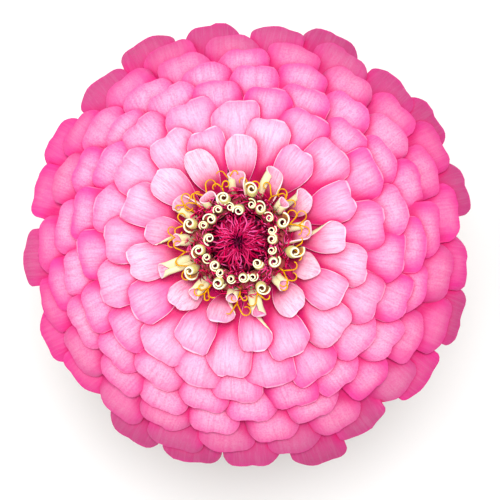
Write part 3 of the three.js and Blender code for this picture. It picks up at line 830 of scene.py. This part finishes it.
def scrollPlace(n, random, thickness):
    own = seeded(900 + n)
    bud = n < spiral["firstRoll"]
    azimuth = rayAzimuth(n)
    out = polar(1, azimuth)
    mouthReach = scroll["budReach"] + random() if bud else rayReach(n)
    footReach = clamp(mouthReach, collar["inner"] + 0.8, collar["outer"] - 1)
    age = max(0, n - spiral["firstRoll"]) / (spiral["firstFolded"] - 1 - spiral["firstRoll"])
    if bud:
        height = scroll["budHeight"] + 0.3 * random()
        mouth = scroll["budMouth"] + 0.08 * random()
    else:
        height = mix(*scroll["height"], age) + 0.6 * random()
        mouth = mix(*scroll["mouth"], age) + 0.16 * random()
    looseEnd = azimuth + math.radians(scroll["looseEndDeg"] + 40 * random())
    wind = math.radians(mix(*scroll["turnsDeg"], age))
    wrap = scroll["pitch"] * thickness * wind / math.tau
    hole = max(mouth - wrap, scroll["hole"] + thickness / 2)
    tail = scroll["tail"] * (1 + 0.8 * own()) * mix(0.7, 1.4, age)
    bend = 0.5 + 0.3 * own()

    def place(u, x):
        part = (x + 1) / 2
        radius = hole * mix(0.5, 1, smooth(u, 0, 0.7)) + wrap * part
        radius += scroll["belly"] * math.exp(-(((u - 0.74) / 0.2) ** 2)) * mouth
        radius += tail * smooth(part, 0.78, 1) * smooth(u, 0.55, 1)
        spoke = polar(1, looseEnd + wind * (part - 1))
        point = out * (mix(footReach, mouthReach, u) + bend * u * u * mouth) + spoke * radius
        point.z = collar["top"] - 0.7 + height * u - scroll["innerHigher"] * u * part * mouth
        return point

    return place, own()


def makeScrolls(name, first, last, random, grid, thickness):
    bm = bmesh.new()
    for n in range(first, last):
        place, tone = scrollPlace(n, random, thickness)
        growSheet(bm, *grid, place, tone=tone)
    makePiece(name, bm, ["inner_rays"], scrollLayers, bloomFrame, thickness)


# the rolled edges: their own pale cream, made paler still as a painted highlight
scrollRim = mottledMaterial("scroll rim", 0.45, 0.5, 900.0,
                            [(0.3, (0.9, 0.86, 0.48)), (0.7, (0.97, 0.95, 0.78))])
scrollLayers = [scrollFaceMaterial(), scrollBackMaterial(), scrollRim]
scrollDraws = seeded(23)
makeScrolls("small_rolled_petals", spiral["firstRoll"], spiral["firstLargeRoll"], scrollDraws,
            scroll["grid"], scroll["smallThickness"])
makeScrolls("rolled_petals", spiral["firstLargeRoll"], spiral["firstFolded"], scrollDraws,
            scroll["grid"], scroll["thickness"])
makeScrolls("tiny_rolled_petals", spiral["firstRoll"] - scroll["buds"], spiral["firstRoll"],
            seeded(29), scroll["budGrid"], scroll["budThickness"])


# the collar that the rolled and folded rays grow from

collarSection = [(collar["inner"], collar["bottom"]), (collar["outer"], collar["bottom"]),
                 (collar["outer"], collar["top"]), (collar["inner"], collar["top"]),
                 (collar["inner"], collar["bottom"])]
makePiece("ray_collar", turned(collarSection, 96), ["inner_rays"], [coreFinish],
          bloomFrame, bevel=0.4)


# gold forked styles with curled ends

style = {
    "radius": 0.17,
    "sides": 6,
    "footRadius": 10.6,
    "footLevel": head["coreTop"] + 1.4,
    "forkRadius": 13.2,
    "forkLevel": 40.5,
    "forkDeg": 34,
    "armReach": 3.4,  # from the fork to the far side of the curls
    "curlRadius": 0.95,
    "curlDeg": 190,
    "curlSteps": 14,
    "firstRay": -12,
    "lastRay": 1,
    "looseRays": 8,  # more of them, further out
    "looseOut": 1.9,
    "asideDeg": 10,
}


def growStyle(bm, n, random):
    own = seeded(300 + n)
    azimuth = rayAzimuth(n) + math.radians(style["asideDeg"] + 6 * random())
    loose = style["looseOut"] if n > style["lastRay"] else 0
    level = style["forkLevel"] + 0.5 * random()
    forkRadius = style["forkRadius"] + 0.4 * random() + loose
    run = (style["armReach"] + 1.6 * random()) * 0.55
    fork = polar(forkRadius, azimuth, level)
    stalk = interpolate_bezier(
        polar(style["footRadius"], azimuth, style["footLevel"]),
        polar(style["footRadius"] + 0.4, azimuth + math.radians(1), style["footLevel"] + 3),
        polar(forkRadius - 1.4, azimuth, level - 1.2), fork, 9)
    growStrand(bm, stalk, [style["radius"] * 1.15] * 9, style["sides"])
    for way in (1, -1):
        curl = style["curlRadius"] * (1 + 0.35 * own())
        turns = math.radians(style["curlDeg"] + 90 * own())
        heading = azimuth + math.radians(8 * own() + style["forkDeg"] * way)
        forward, aside = polar(1, heading), crosswise(heading) * way
        start = fork + forward * run + Vector((0, 0, 1.1))
        points = interpolate_bezier(fork, fork + forward * 0.4 * run + Vector((0, 0, 0.8)),
                                    start - forward * 0.4 * run, start, 6)[:-1]
        for i in range(style["curlSteps"]):
            angle = turns * i / (style["curlSteps"] - 1)
            shrink = curl * (1 - 0.3 * angle / math.tau)
            offset = forward * shrink * math.sin(angle) + aside * (curl - shrink * math.cos(angle))
            lift = Vector((0, 0, 0.25 * math.sin(angle) - 0.35 * angle / 3))
            points.append(start + offset + lift)
        radii = [style["radius"] * mix(1.1, 0.8, i / (len(points) - 1)) for i in range(len(points))]
        growStrand(bm, points, radii, style["sides"])


bm = bmesh.new()
for n in range(style["firstRay"], style["lastRay"] + style["looseRays"] + 1):
    growStyle(bm, n, scrollDraws)
closeStrands(bm)
styleFinish = mottledMaterial(
    "gold style", 0.5, 0.1, 900.0,
    [(0.3, (0.56, 0.2, 0.0)), (0.5, (0.78, 0.36, 0.0)), (0.75, (0.9, 0.52, 0.0))],
    bump=(4000.0, 0.4, 0.05))
makePiece("gold_styles", bm, ["inner_rays"], [styleFinish], bloomFrame)


# crimson middle

disc = {
    "radius": 7.5,
    "bottom": head["coreTop"] + seatGap,
    "dome": [(1, 0), (0.92, 1.6), (0.78, 2.4), (0.6, 3), (0.3, 3.5), (0, 3.6)],
    "bristles": 210,
    "bristleRadius": 0.22,
    "bristleTaper": (0.9, 1, 1, 1, 0.95, 0.8, 0.5, 0.1),
    "bristleTop": 8.2,  # above the bottom
    "wiggle": 0.3,
    "tangle": 720,  # strands between the bristles and the quills
    "tangleFrom": 5.8,
    "tangleTo": 12.9,
    "tangleTops": (39.6, 41.2),
    "tangleLean": (-1.3, 1.4),
    "tangleRadius": 0.18,
    "tangleTaper": (0.9, 1, 1, 1, 0.9, 0.7, 0.15),
}


def bristleMaterial():
    material, tree, shader = newMaterial("crimson bristle", 0.4,
                                         {"Specular Tint": (1, 0.18, 0.45, 1)})
    out, tone = attribute(tree, "out"), attribute(tree, "tone")
    body = ramp(out, [(0.0, (0.03, 0.0, 0.03)), (0.12, (0.13, 0.001, 0.05)),
                      (0.26, (0.62, 0.0, 0.075)), (0.7, (0.72, 0.0, 0.09)),
                      (1.0, (0.7, 0.006, 0.1))])
    body = blendColours(ramp(tone, [(0.0, 0.0), (0.5, 0.75)]), body, (0.2, 0.0, 0.03))
    # painted highlight: the outer part of some bristles is blended to light pink
    share = ramp(timesPlus(tone, 0.5, 0.5), [(0.0, 0.85), (0.45, 0.0)])
    light = times(share, ramp(out, [(0.2, 0.0), (0.5, 1.0)]))
    paint(shader, blendColours(light, body, (0.95, 0.13, 0.45)))
    addBump(shader, mottle(tree, 3000.0), 0.3, 0.04)
    return material


def growBristle(bm, k, draw):
    # stiff ones that lean in over the middle
    share = math.sqrt((k + 0.6) / disc["bristles"])
    azimuth = math.radians(spiral["turnDeg"] * k)
    foot = disc["radius"] * 0.98 * share
    tipAt = foot * 0.34 + 0.2 + 0.5 * draw() * share
    drift = math.radians(34 * draw())
    bottom = disc["bottom"] + 3.2 - 2.4 * share * share
    top = disc["bottom"] + disc["bristleTop"] + 1.1 * share + 0.7 * draw()
    points = interpolate_bezier(
        polar(foot, azimuth, bottom), polar(foot * 1.04, azimuth, mix(bottom, top, 0.6)),
        polar(mix(foot, tipAt, 0.45), azimuth + drift * 0.6, top + 0.2),
        polar(tipAt, azimuth + drift, top - 1.4 * (1 - share)), len(disc["bristleTaper"]))
    aside = crosswise(azimuth) * disc["wiggle"] * share
    turn = 3 * draw()
    points = [p + aside * math.sin(1.5 * i + turn) for i, p in enumerate(points)]
    radii = [disc["bristleRadius"] * v * (1 + 0.15 * draw()) for v in disc["bristleTaper"]]
    growStrand(bm, points, radii, 5, tone=draw(),
               out=lambda u, x: mix(foot, tipAt, u * u) / disc["radius"])


def growTangle(bm, k, draw):
    # thin ones that stand up round them
    azimuth = math.radians(spiral["turnDeg"] * k + 20 * draw())
    foot = mix(disc["tangleFrom"], disc["tangleTo"], ((draw() + 1) / 2) ** 0.7)
    bottom = (collar["top"] if foot > collar["inner"] else collar["bottom"] + 1) - 0.4
    if foot > collar["outer"]:  # the outermost stand on the core, in front of the collar
        bottom = head["coreTop"] - 1.6
    top = between(*disc["tangleTops"], draw)
    tipAt = foot + between(*disc["tangleLean"], draw)
    drift = math.radians(14 * draw())
    points = interpolate_bezier(
        polar(foot, azimuth, bottom), polar(foot + 0.3 * draw(), azimuth, mix(bottom, top, 0.5)),
        polar(mix(foot, tipAt, 0.2), azimuth + drift * 0.3, top + 0.3),
        polar(tipAt, azimuth + drift, top - 0.3), len(disc["tangleTaper"]))
    radii = [disc["tangleRadius"] * v for v in disc["tangleTaper"]]
    growStrand(bm, points, radii, 4, tone=draw(), out=lambda u, x: mix(0.36, 0.95, u))


discFinish = mottledMaterial("disc body", 0.8, 0.1, 900.0,
                             [(0.3, (0.05, 0.004, 0.016)), (0.7, (0.2, 0.01, 0.05))],
                             bump=(900.0, 0.7, 0.3))
discDome = [(disc["radius"] * share, disc["bottom"] + lift) for share, lift in disc["dome"]]
makePiece("disc_body", turned([(0, disc["bottom"]), *discDome], 48), ["disc"],
          [discFinish], bloomFrame)

bm = bmesh.new()
discDraws = seeded(31)
for k in range(disc["bristles"]):
    growBristle(bm, k, discDraws)
for k in range(disc["tangle"]):
    growTangle(bm, k, discDraws)
closeStrands(bm)
makePiece("crimson_bristles", bm, ["disc"], [bristleMaterial()], bloomFrame)


# green bracts under the head

bract = {
    "cup": [(0, 0.3), (2.2, 0.3), (3.1, 0.5), (5.4, 1.7), (7.6, 3.4), (9.2, 6.2), (10.2, 9.9),
            (0, 9.9)],
    "rows": [
        {"count": 7, "foot": (5.6, 2.8), "tip": (10.4, 6.4), "width": 7.4, "offset": 0},
        {"count": 8, "foot": (7.8, 5), "tip": (11.8, 9.6), "width": 7.8, "offset": 0.5},
    ],
    "grid": (12, 14),
    "rootDeg": 40,
    "tipDeg": 72,
    "bowl": 0.56,
    "outline": [(0, 0.7), (0.2, 0.88), (0.4, 1), (0.62, 0.97), (0.8, 0.86), (0.93, 0.66), (1, 0.4)],
    "thickness": 0.5,
}
bractOutline = curveThrough(bract["outline"])


def bractMaterial(name, dark, light, tip=None):
    material, tree, shader = newMaterial(name, 0.55)
    blade = bladeCoordinates(tree)
    lines = lengthwiseLines(blade, 12.0, 1.4)
    body = ramp(lines, [(0.35, dark), (0.65, light)])
    if tip:
        edge = sums("MAXIMUM", ramp(blade["fromMiddle"], [(0.82, 0.0), (0.98, 1.0)]),
                    ramp(blade["along"], [(0.84, 0.0), (0.97, 1.0)]))
        body = blendColours(edge, body, tip)
    paint(shader, body)
    addBump(shader, lines, 0.5, 0.2)
    return material


cupGreen = bractMaterial("bract cup", (0.09, 0.17, 0.04), (0.2, 0.32, 0.09))
makePiece("bract_cup", turned(bract["cup"], 48), ["involucre"], [cupGreen], bloomFrame)

bm = bmesh.new()
bractDraws = seeded(47)
for row in bract["rows"]:
    for i in range(row["count"]):
        azimuth = (i + row["offset"] + 0.08 * bractDraws()) / row["count"] * math.tau
        curve = arc(row["foot"], bract["rootDeg"], row["tip"],
                    bract["tipDeg"] + 5 * bractDraws(), 0.36)
        place = bladePlace(azimuth, curve, lambda u: bractOutline(u) * row["width"] / 2,
                           lambda u: bract["bowl"],
                           blunt=lambda u, x: 0.12 * smooth(u, 0.6, 1) * x * x)
        growSheet(bm, *bract["grid"], place, tone=bractDraws())
bractGreen = bractMaterial("bract", (0.1, 0.2, 0.05), (0.24, 0.36, 0.12), tip=(0.05, 0.012, 0.01))
makePiece("bracts", bm, ["involucre"], [bractGreen] * 3, bloomFrame, bract["thickness"])


# stem, with its knots and hairs

stem = {
    "radius": 2.6,
    "way": [(58.3, 0, 0), (98, 0, 0), (136, 1.2, 0.8), (174, 2.3, -0.5), (207.7, 0, 0)],
    "intoCup": 1.6,  # how far its top runs on into the bract cup
    "grid": (32, 150),
    "knotRadius": 3.4,
    "knotHeight": 4.6,
    "ribs": 8,
    "hairs": 520,
    "hairLevels": (94, 206),
    "hairLength": 1.3,
    "hairRadii": [0.055, 0.04, 0.008],
}
leafPairs = [
    {"height": 110, "azimuth": 62, "reach": 57, "rise": 2, "width": 28, "rootDeg": 34, "tipDeg": -40},
    {"height": 129, "azimuth": 150, "reach": 57, "rise": 6, "width": 30, "rootDeg": 40, "tipDeg": -38},
    {"height": 151, "azimuth": 58, "reach": 55, "rise": 12, "width": 27, "rootDeg": 46, "tipDeg": -34},
    {"height": 174, "azimuth": 146, "reach": 42, "rise": 14, "width": 20, "rootDeg": 52, "tipDeg": -26},
    {"height": 193, "azimuth": 54, "reach": 24, "rise": 9, "width": 11, "rootDeg": 50, "tipDeg": -14},
]
stemX = curveThrough([(z, x) for z, x, _ in stem["way"]])
stemY = curveThrough([(z, y) for z, _, y in stem["way"]])


def stemAt(z):
    return Vector((stemX(z), stemY(z), z))


def stemRadius(z):
    knots = sum(math.exp(-(((z - pair["height"]) / stem["knotHeight"]) ** 2)) for pair in leafPairs)
    return stem["radius"] * (1 + (stem["knotRadius"] / stem["radius"] - 1) * knots)


def stemPlace(u, x):
    z = mix(stem["way"][0][0], stem["way"][-1][0] + stem["intoCup"], u)
    rib = 1 + 0.025 * math.cos(stem["ribs"] * math.pi * x)
    return stemAt(z) + polar(1, math.pi * x) * stemRadius(z) * rib


def growHair(bm, draw):
    z = between(*stem["hairLevels"], draw)
    angle = math.pi * draw()
    outward = polar(1, angle, 0.35 * draw())
    foot = stemAt(z) + polar(1, angle) * (stemRadius(z) - 0.1)
    length = stem["hairLength"] * (1 + 0.4 * draw())
    growStrand(bm, [foot, foot + outward * length * 0.5, foot + outward * length],
               stem["hairRadii"], 3)


def stemMaterial():
    material, tree, shader = newMaterial("stem", 0.5)
    lines = lengthwiseLines(bladeCoordinates(tree), 26.0, 9.0)
    body = ramp(lines, [(0.35, (0.13, 0.22, 0.05)), (0.65, (0.3, 0.42, 0.14))])
    flush = ramp(mottle(tree, 60.0), [(0.5, 0.0), (0.75, 0.5)])
    paint(shader, blendColours(flush, body, (0.3, 0.16, 0.09)))
    addBump(shader, lines, 0.5, 0.15)
    return material


bm = bmesh.new()
growSheet(bm, *stem["grid"], stemPlace, tone=0.0)
closeStrands(bm)
makePiece("green_stem", bm, ["stem"], [stemMaterial()])

bm = bmesh.new()
hairDraws = seeded(61)
for _ in range(stem["hairs"]):
    growHair(bm, hairDraws)
closeStrands(bm)
hairFinish = mottledMaterial("pale hair", 0.5, 0.5, 400.0,
                             [(0.3, (0.55, 0.6, 0.42)), (0.7, (0.8, 0.82, 0.7))])
makePiece("stem_hairs", bm, ["stem"], [hairFinish])


# leaves

leaf = {
    "grid": (30, 44),
    "thickness": 0.5,
    "outline": [(0, 0.3), (0.07, 0.5), (0.2, 0.86), (0.38, 1), (0.56, 0.9), (0.73, 0.64),
                (0.88, 0.32), (0.96, 0.13), (1, 0.03)],
    "bowl": 0.4,
    "veinWidth": 0.05,  # as a share of the half width
    "vein": 0.42,
    "quilt": 0.3,
    "branching": 44,  # how closely the fine veins follow each other
    "branchSlant": 0.22,
}
leafOutline = curveThrough(leaf["outline"])


def leafMaterial(name, dark, light, veinColour):
    material, tree, shader = newMaterial(name, 0.52)
    body = ramp(mottle(tree, 140.0, 5.0), [(0.3, dark), (0.7, light)])
    fleck = ramp(mottle(tree, 1100.0), [(0.55, 0.0), (0.7, 0.35)])
    body = blendColours(fleck, body, light)
    veins = ramp(attribute(tree, "vein"), [(0.45, 0.0), (1.0, 0.8)])
    paint(shader, blendColours(veins, body, veinColour))
    addBump(shader, mottle(tree, 900.0, 4.0), 0.5, 0.35)
    return material


leafLayers = [
    leafMaterial("leaf face", (0.035, 0.1, 0.02), (0.11, 0.23, 0.05), (0.3, 0.42, 0.16)),
    leafMaterial("leaf underside", (0.1, 0.18, 0.06), (0.2, 0.31, 0.11), (0.36, 0.46, 0.2)),
    leafMaterial("leaf rim", (0.1, 0.19, 0.05), (0.18, 0.3, 0.09), (0.3, 0.4, 0.16)),
]


def branchAngle(u, far):
    return leaf["branching"] * (u - leaf["branchSlant"] * far)


def veinDepth(u, x):
    # one middle vein, a pair that leaves it at the foot, and fine ones that curve to the rim
    far = abs(x)
    middle = math.exp(-((far / leaf["veinWidth"]) ** 2))
    pair = math.exp(-(((far - 0.46 * smooth(u, -0.02, 0.3)) / leaf["veinWidth"]) ** 2))
    pair *= 1 - smooth(u, 0.6, 0.95)
    branch = max(0, math.cos(branchAngle(u, far))) ** 10 * (1 - far) * 0.7 * smooth(far, 0.04, 0.2)
    return max(middle, 0.8 * pair, branch)


def growLeaf(bm, pair, flip, seed):
    random = seeded(seed)
    root = stem["knotRadius"] + seatGap + leaf["thickness"] / 2
    reach = pair["reach"] * (1 + 0.05 * random())
    rootDeg = pair["rootDeg"] + 4 * random()
    tip = (reach, pair["rise"] + 2 * random())
    curve = arc((root, 0), rootDeg, tip, pair["tipDeg"] + 5 * random(), 0.42)
    phase = 3 * random()
    waviness = 0.05 * pair["width"]
    azimuth = math.radians(pair["azimuth"] + flip + 5 * random())
    roll = 0.12 * random()

    def bowl(u):
        return leaf["bowl"] * smooth(u, 0, 0.3) * (1 - 0.7 * u)

    def wave(u, x):
        far = abs(x)
        ruffle = waviness * x * far * math.sin(9 * u + phase) * smooth(u, 0.05, 0.3)
        quilt = math.sin(branchAngle(u, far)) * math.sin(7 * far) * (1 - far) * 0.5
        return ruffle - leaf["vein"] * veinDepth(u, x) + leaf["quilt"] * quilt * smooth(u, 0.1, 0.3)

    place = bladePlace(azimuth, curve, lambda u: leafOutline(u) * pair["width"] / 2, bowl,
                       roll=roll, wave=wave)
    out, side = polar(1, azimuth), crosswise(azimuth)

    def clasping(u, x):
        # the foot bends round the stem
        point = place(u, x)
        aside = min(abs(point.dot(side)) / root, 0.97)
        return point - out * root * (1 - math.sqrt(1 - aside * aside)) * (1 - smooth(u, 0.02, 0.2))

    growSheet(bm, *leaf["grid"], clasping, vein=veinDepth)
    bmesh.ops.translate(bm, vec=stemAt(pair["height"]), verts=bm.verts)


for i, pair in enumerate(leafPairs):
    for side, letter in enumerate("ab"):
        bm = bmesh.new()
        growLeaf(bm, pair, 180 * side, 100 + 2 * i + side)
        makePiece(f"green_leaf_{i + 1}_{letter}", bm, [f"leaf_{i + 1}_{letter}"],
                  leafLayers, solid=leaf["thickness"])


# clay pot

pot = {
    "height": 104,
    "rimRadius": 57,
    "rimBand": 21,  # height of the thick band round the mouth
    "shoulderRadius": 52.5,
    "baseRadius": 38,
    "wall": 4.8,
    "floor": 6,
    "sides": 160,
    "softEdge": 0.5,
    "drainHole": {"count": 4, "radius": 4, "onRadius": 21, "drillLength": 20},
}


def potInnerRadius(z):
    shoulder = pot["height"] - pot["rimBand"]
    return mix(pot["baseRadius"], pot["shoulderRadius"], z / shoulder) - pot["wall"]


def clayMaterial():
    material, tree, shader = newMaterial("fired clay", 0.85, {"Specular IOR Level": 0.3})
    body = ramp(mottle(tree, 28.0, 6.0), [(0.3, (0.43, 0.16, 0.07)),
                                          (0.55, (0.56, 0.23, 0.11)),
                                          (0.75, (0.64, 0.3, 0.16))])
    grains = ramp(mottle(tree, 900.0), [(0.58, 0.0), (0.72, 0.5)])
    body = blendColours(grains, body, (0.3, 0.11, 0.05))
    bloomOfSalt = ramp(mottle(tree, 45.0, 8.0), [(0.58, 0.0), (0.72, 0.4)])
    paint(shader, blendColours(bloomOfSalt, body, (0.74, 0.55, 0.43)))
    addBump(shader, mottle(tree, 700.0, 5.0), 0.35, 0.3)
    return material


def potProfile():
    shoulder = pot["height"] - pot["rimBand"]
    innerTop = potInnerRadius(pot["height"])
    return [
        (0, 0), (pot["baseRadius"] - 1.2, 0), (pot["baseRadius"], 1.2),
        (pot["shoulderRadius"], shoulder), (pot["rimRadius"] - 1.8, shoulder + 0.4),
        (pot["rimRadius"] - 0.9, shoulder + 2), (pot["rimRadius"], pot["height"] - 1.5),
        (pot["rimRadius"] - 1.5, pot["height"]), (innerTop + 1.2, pot["height"]),
        (innerTop, pot["height"] - 1.4), (potInnerRadius(pot["floor"] + 2), pot["floor"] + 2),
        (potInnerRadius(pot["floor"]) - 3, pot["floor"]), (0, pot["floor"]),
    ]


def drillHoles(piece, holes):
    bm = bmesh.new()
    for i in range(holes["count"]):
        middle = polar(holes["onRadius"], (i + 0.5) / holes["count"] * math.tau, pot["floor"] / 2)
        bmesh.ops.create_cone(bm, cap_ends=True, segments=32, radius1=holes["radius"],
                              radius2=holes["radius"], depth=holes["drillLength"],
                              matrix=Matrix.Translation(middle))
    bmesh.ops.transform(bm, matrix=Matrix.Scale(mm, 4), verts=bm.verts)
    drill = putInScene("drill", meshFrom(bm, "drill"))
    cut = piece.modifiers.new("drain holes", "BOOLEAN")
    cut.operation = "DIFFERENCE"
    cut.solver = "EXACT"
    cut.object = drill
    softenEdges(piece, pot["softEdge"], 35)
    drilled = piece.evaluated_get(bpy.context.evaluated_depsgraph_get())
    piece.data = bpy.data.meshes.new_from_object(drilled)
    piece.modifiers.clear()
    bpy.data.objects.remove(drill)


clayPot = makePiece("clay_pot", turned(potProfile(), pot["sides"]), ["pot"],
                    [clayMaterial()])
drillHoles(clayPot, pot["drainHole"])
print(f"clay pot drilled: {len(clayPot.data.polygons)} faces")


# potting mix: its own body with crumbs, then bark and white grains

soil = {
    "level": 92,
    "crumb": 1.6,
    "holeRadius": 3.4,
    "holeBottom": 58,
    "sides": 96,
    "rings": 30,
    "parts": [  # height and width of the lumps are shares of their size
        {"name": "potting mix", "dark": (0.018, 0.01, 0.006), "light": (0.075, 0.042, 0.025),
         "grain": 450.0, "count": 900, "size": 0.9, "height": 0.8, "width": 1},
        {"name": "bark chip", "dark": (0.09, 0.04, 0.018), "light": (0.24, 0.12, 0.06),
         "grain": 300.0, "count": 90, "size": 2.1, "height": 0.3, "width": 0.6},
        {"name": "perlite", "dark": (0.62, 0.6, 0.55), "light": (0.85, 0.84, 0.8),
         "grain": 900.0, "count": 60, "size": 0.9, "height": 0.85, "width": 1},
    ],
}
soilEdge = potInnerRadius(soil["level"]) - seatGap


def soilLevel(x, y):
    humps = math.sin(x * 0.31 + 1.3) * math.cos(y * 0.27 - 0.6)
    ridges = 0.5 * math.sin(x * 0.7 - y * 0.6)
    small = 0.18 * math.sin(x * 1.9 + y * 1.1) * math.sin(y * 2.3 - x * 0.7)
    return soil["level"] + soil["crumb"] * (humps + ridges + small)


def soilProfile():
    foot = pot["floor"] + seatGap
    top = [(mix(soilEdge, soil["holeRadius"], i / soil["rings"]), soil["level"])
           for i in range(soil["rings"] + 1)]
    return [(0, foot), (potInnerRadius(pot["floor"]) - 3 - seatGap, foot),
            (potInnerRadius(pot["floor"] + 3) - seatGap, foot + 3),
            (soilEdge, soil["level"] - 1.5), *top, (soil["holeRadius"], soil["holeBottom"]),
            (0, soil["holeBottom"])]


def scatter(bm, part, index, draw):
    # lumps that lie on the soil, each with its own size and turn
    for _ in range(part["count"]):
        far = mix(5.5, soilEdge - 1.6, math.sqrt((draw() + 1) / 2))
        angle = math.pi * draw()
        x, y = far * math.cos(angle), far * math.sin(angle)
        lump = bmesh.ops.create_icosphere(bm, subdivisions=1, radius=1)["verts"]
        for vert in lump:
            vert.co *= 1 + 0.28 * draw()
            vert.co.z *= part["height"]
        turn = Matrix.Rotation(math.pi * draw(), 4, "Z") @ Matrix.Rotation(0.6 * draw(), 4, "X")
        size = part["size"] * between(0.5, 1.3, draw)
        spot = Matrix.Translation((x, y, soilLevel(x, y) + 0.25 * size))
        narrow = Matrix.Diagonal((1, part["width"], 1, 1))
        bmesh.ops.transform(bm, matrix=spot @ turn @ Matrix.Scale(size, 4) @ narrow, verts=lump)
        for face in {face for vert in lump for face in vert.link_faces}:
            face.material_index = index
            face.smooth = False


bm = turned(soilProfile(), soil["sides"])
for vert in bm.verts:
    x, y, z = vert.co
    if z > soil["level"] - 0.1:
        inside = 1 - smooth(math.hypot(x, y), soilEdge - 2, soilEdge)
        vert.co.z = mix(soil["level"], soilLevel(x, y), inside)
soilDraws = seeded(83)
for index, part in enumerate(soil["parts"]):
    scatter(bm, part, index, soilDraws)
soilLayers = [
    mottledMaterial(part["name"], 0.9, 0.25, part["grain"],
                    [(0.35, part["dark"]), (0.65, part["light"])],
                    5.0, (part["grain"] * 2, 0.8, 0.8))
    for part in soil["parts"]
]
makePiece("potting_mix", bm, ["soil"], soilLayers)


# floor, light and camera

studio = {
    "floorHalf": 4,  # half its width in metres, which the lamps are placed in too
    "floorUnder": 0.05,  # millimetres below the pot
    "sky": 0.31,
    "lamps": [
        {"name": "key light", "at": (0.02, 0.14, 1.5), "size": 0.36, "power": 18.6},
        {"name": "fill light", "at": (-0.8, 0.1, 1.2), "size": 1.2, "power": 5.0},
    ],
    "lampTarget": (0, 0, 0.2),
}
viewpoint = {"at": (0.1, -1.4, 704), "lens": 137.4, "sensorWidth": 36, "clipStart": 0.01}

bm = bmesh.new()
bmesh.ops.create_grid(bm, x_segments=8, y_segments=8, size=studio["floorHalf"])
bmesh.ops.translate(bm, vec=(0, 0, -studio["floorUnder"] * mm), verts=bm.verts)
floor = putInScene("floor", meshFrom(bm, "floor"))
floor.data.materials.append(mottledMaterial("pale floor", 0.9, 0.5, 3.0,
                                            [(0.3, (0.91, 0.91, 0.91)), (0.7, (0.94, 0.94, 0.94))]))

world = bpy.data.worlds.new("studio")
world.use_nodes = True
background = world.node_tree.nodes["Background"]
background.inputs["Color"].default_value = (1, 1, 1, 1)
background.inputs["Strength"].default_value = studio["sky"]
bpy.context.scene.world = world
for lamp in studio["lamps"]:
    light = bpy.data.lights.new(lamp["name"], "AREA")
    light.shape = "DISK"
    light.size = lamp["size"]
    light.energy = lamp["power"]
    holder = putInScene(lamp["name"], light)
    holder.location = lamp["at"]
    aim = Vector(studio["lampTarget"]) - Vector(lamp["at"])
    holder.rotation_euler = aim.to_track_quat("-Z", "Y").to_euler()

cameraData = bpy.data.cameras.new("camera")
cameraData.lens = viewpoint["lens"]
cameraData.sensor_width = viewpoint["sensorWidth"]
cameraData.clip_start = viewpoint["clipStart"]
camera = putInScene("camera", cameraData)
camera.location = Vector(viewpoint["at"]) * mm
bpy.context.scene.camera = camera
bpy.context.scene.view_settings.view_transform = "Standard"
bpy.context.scene.view_settings.look = "None"
print("floor, light and camera set")
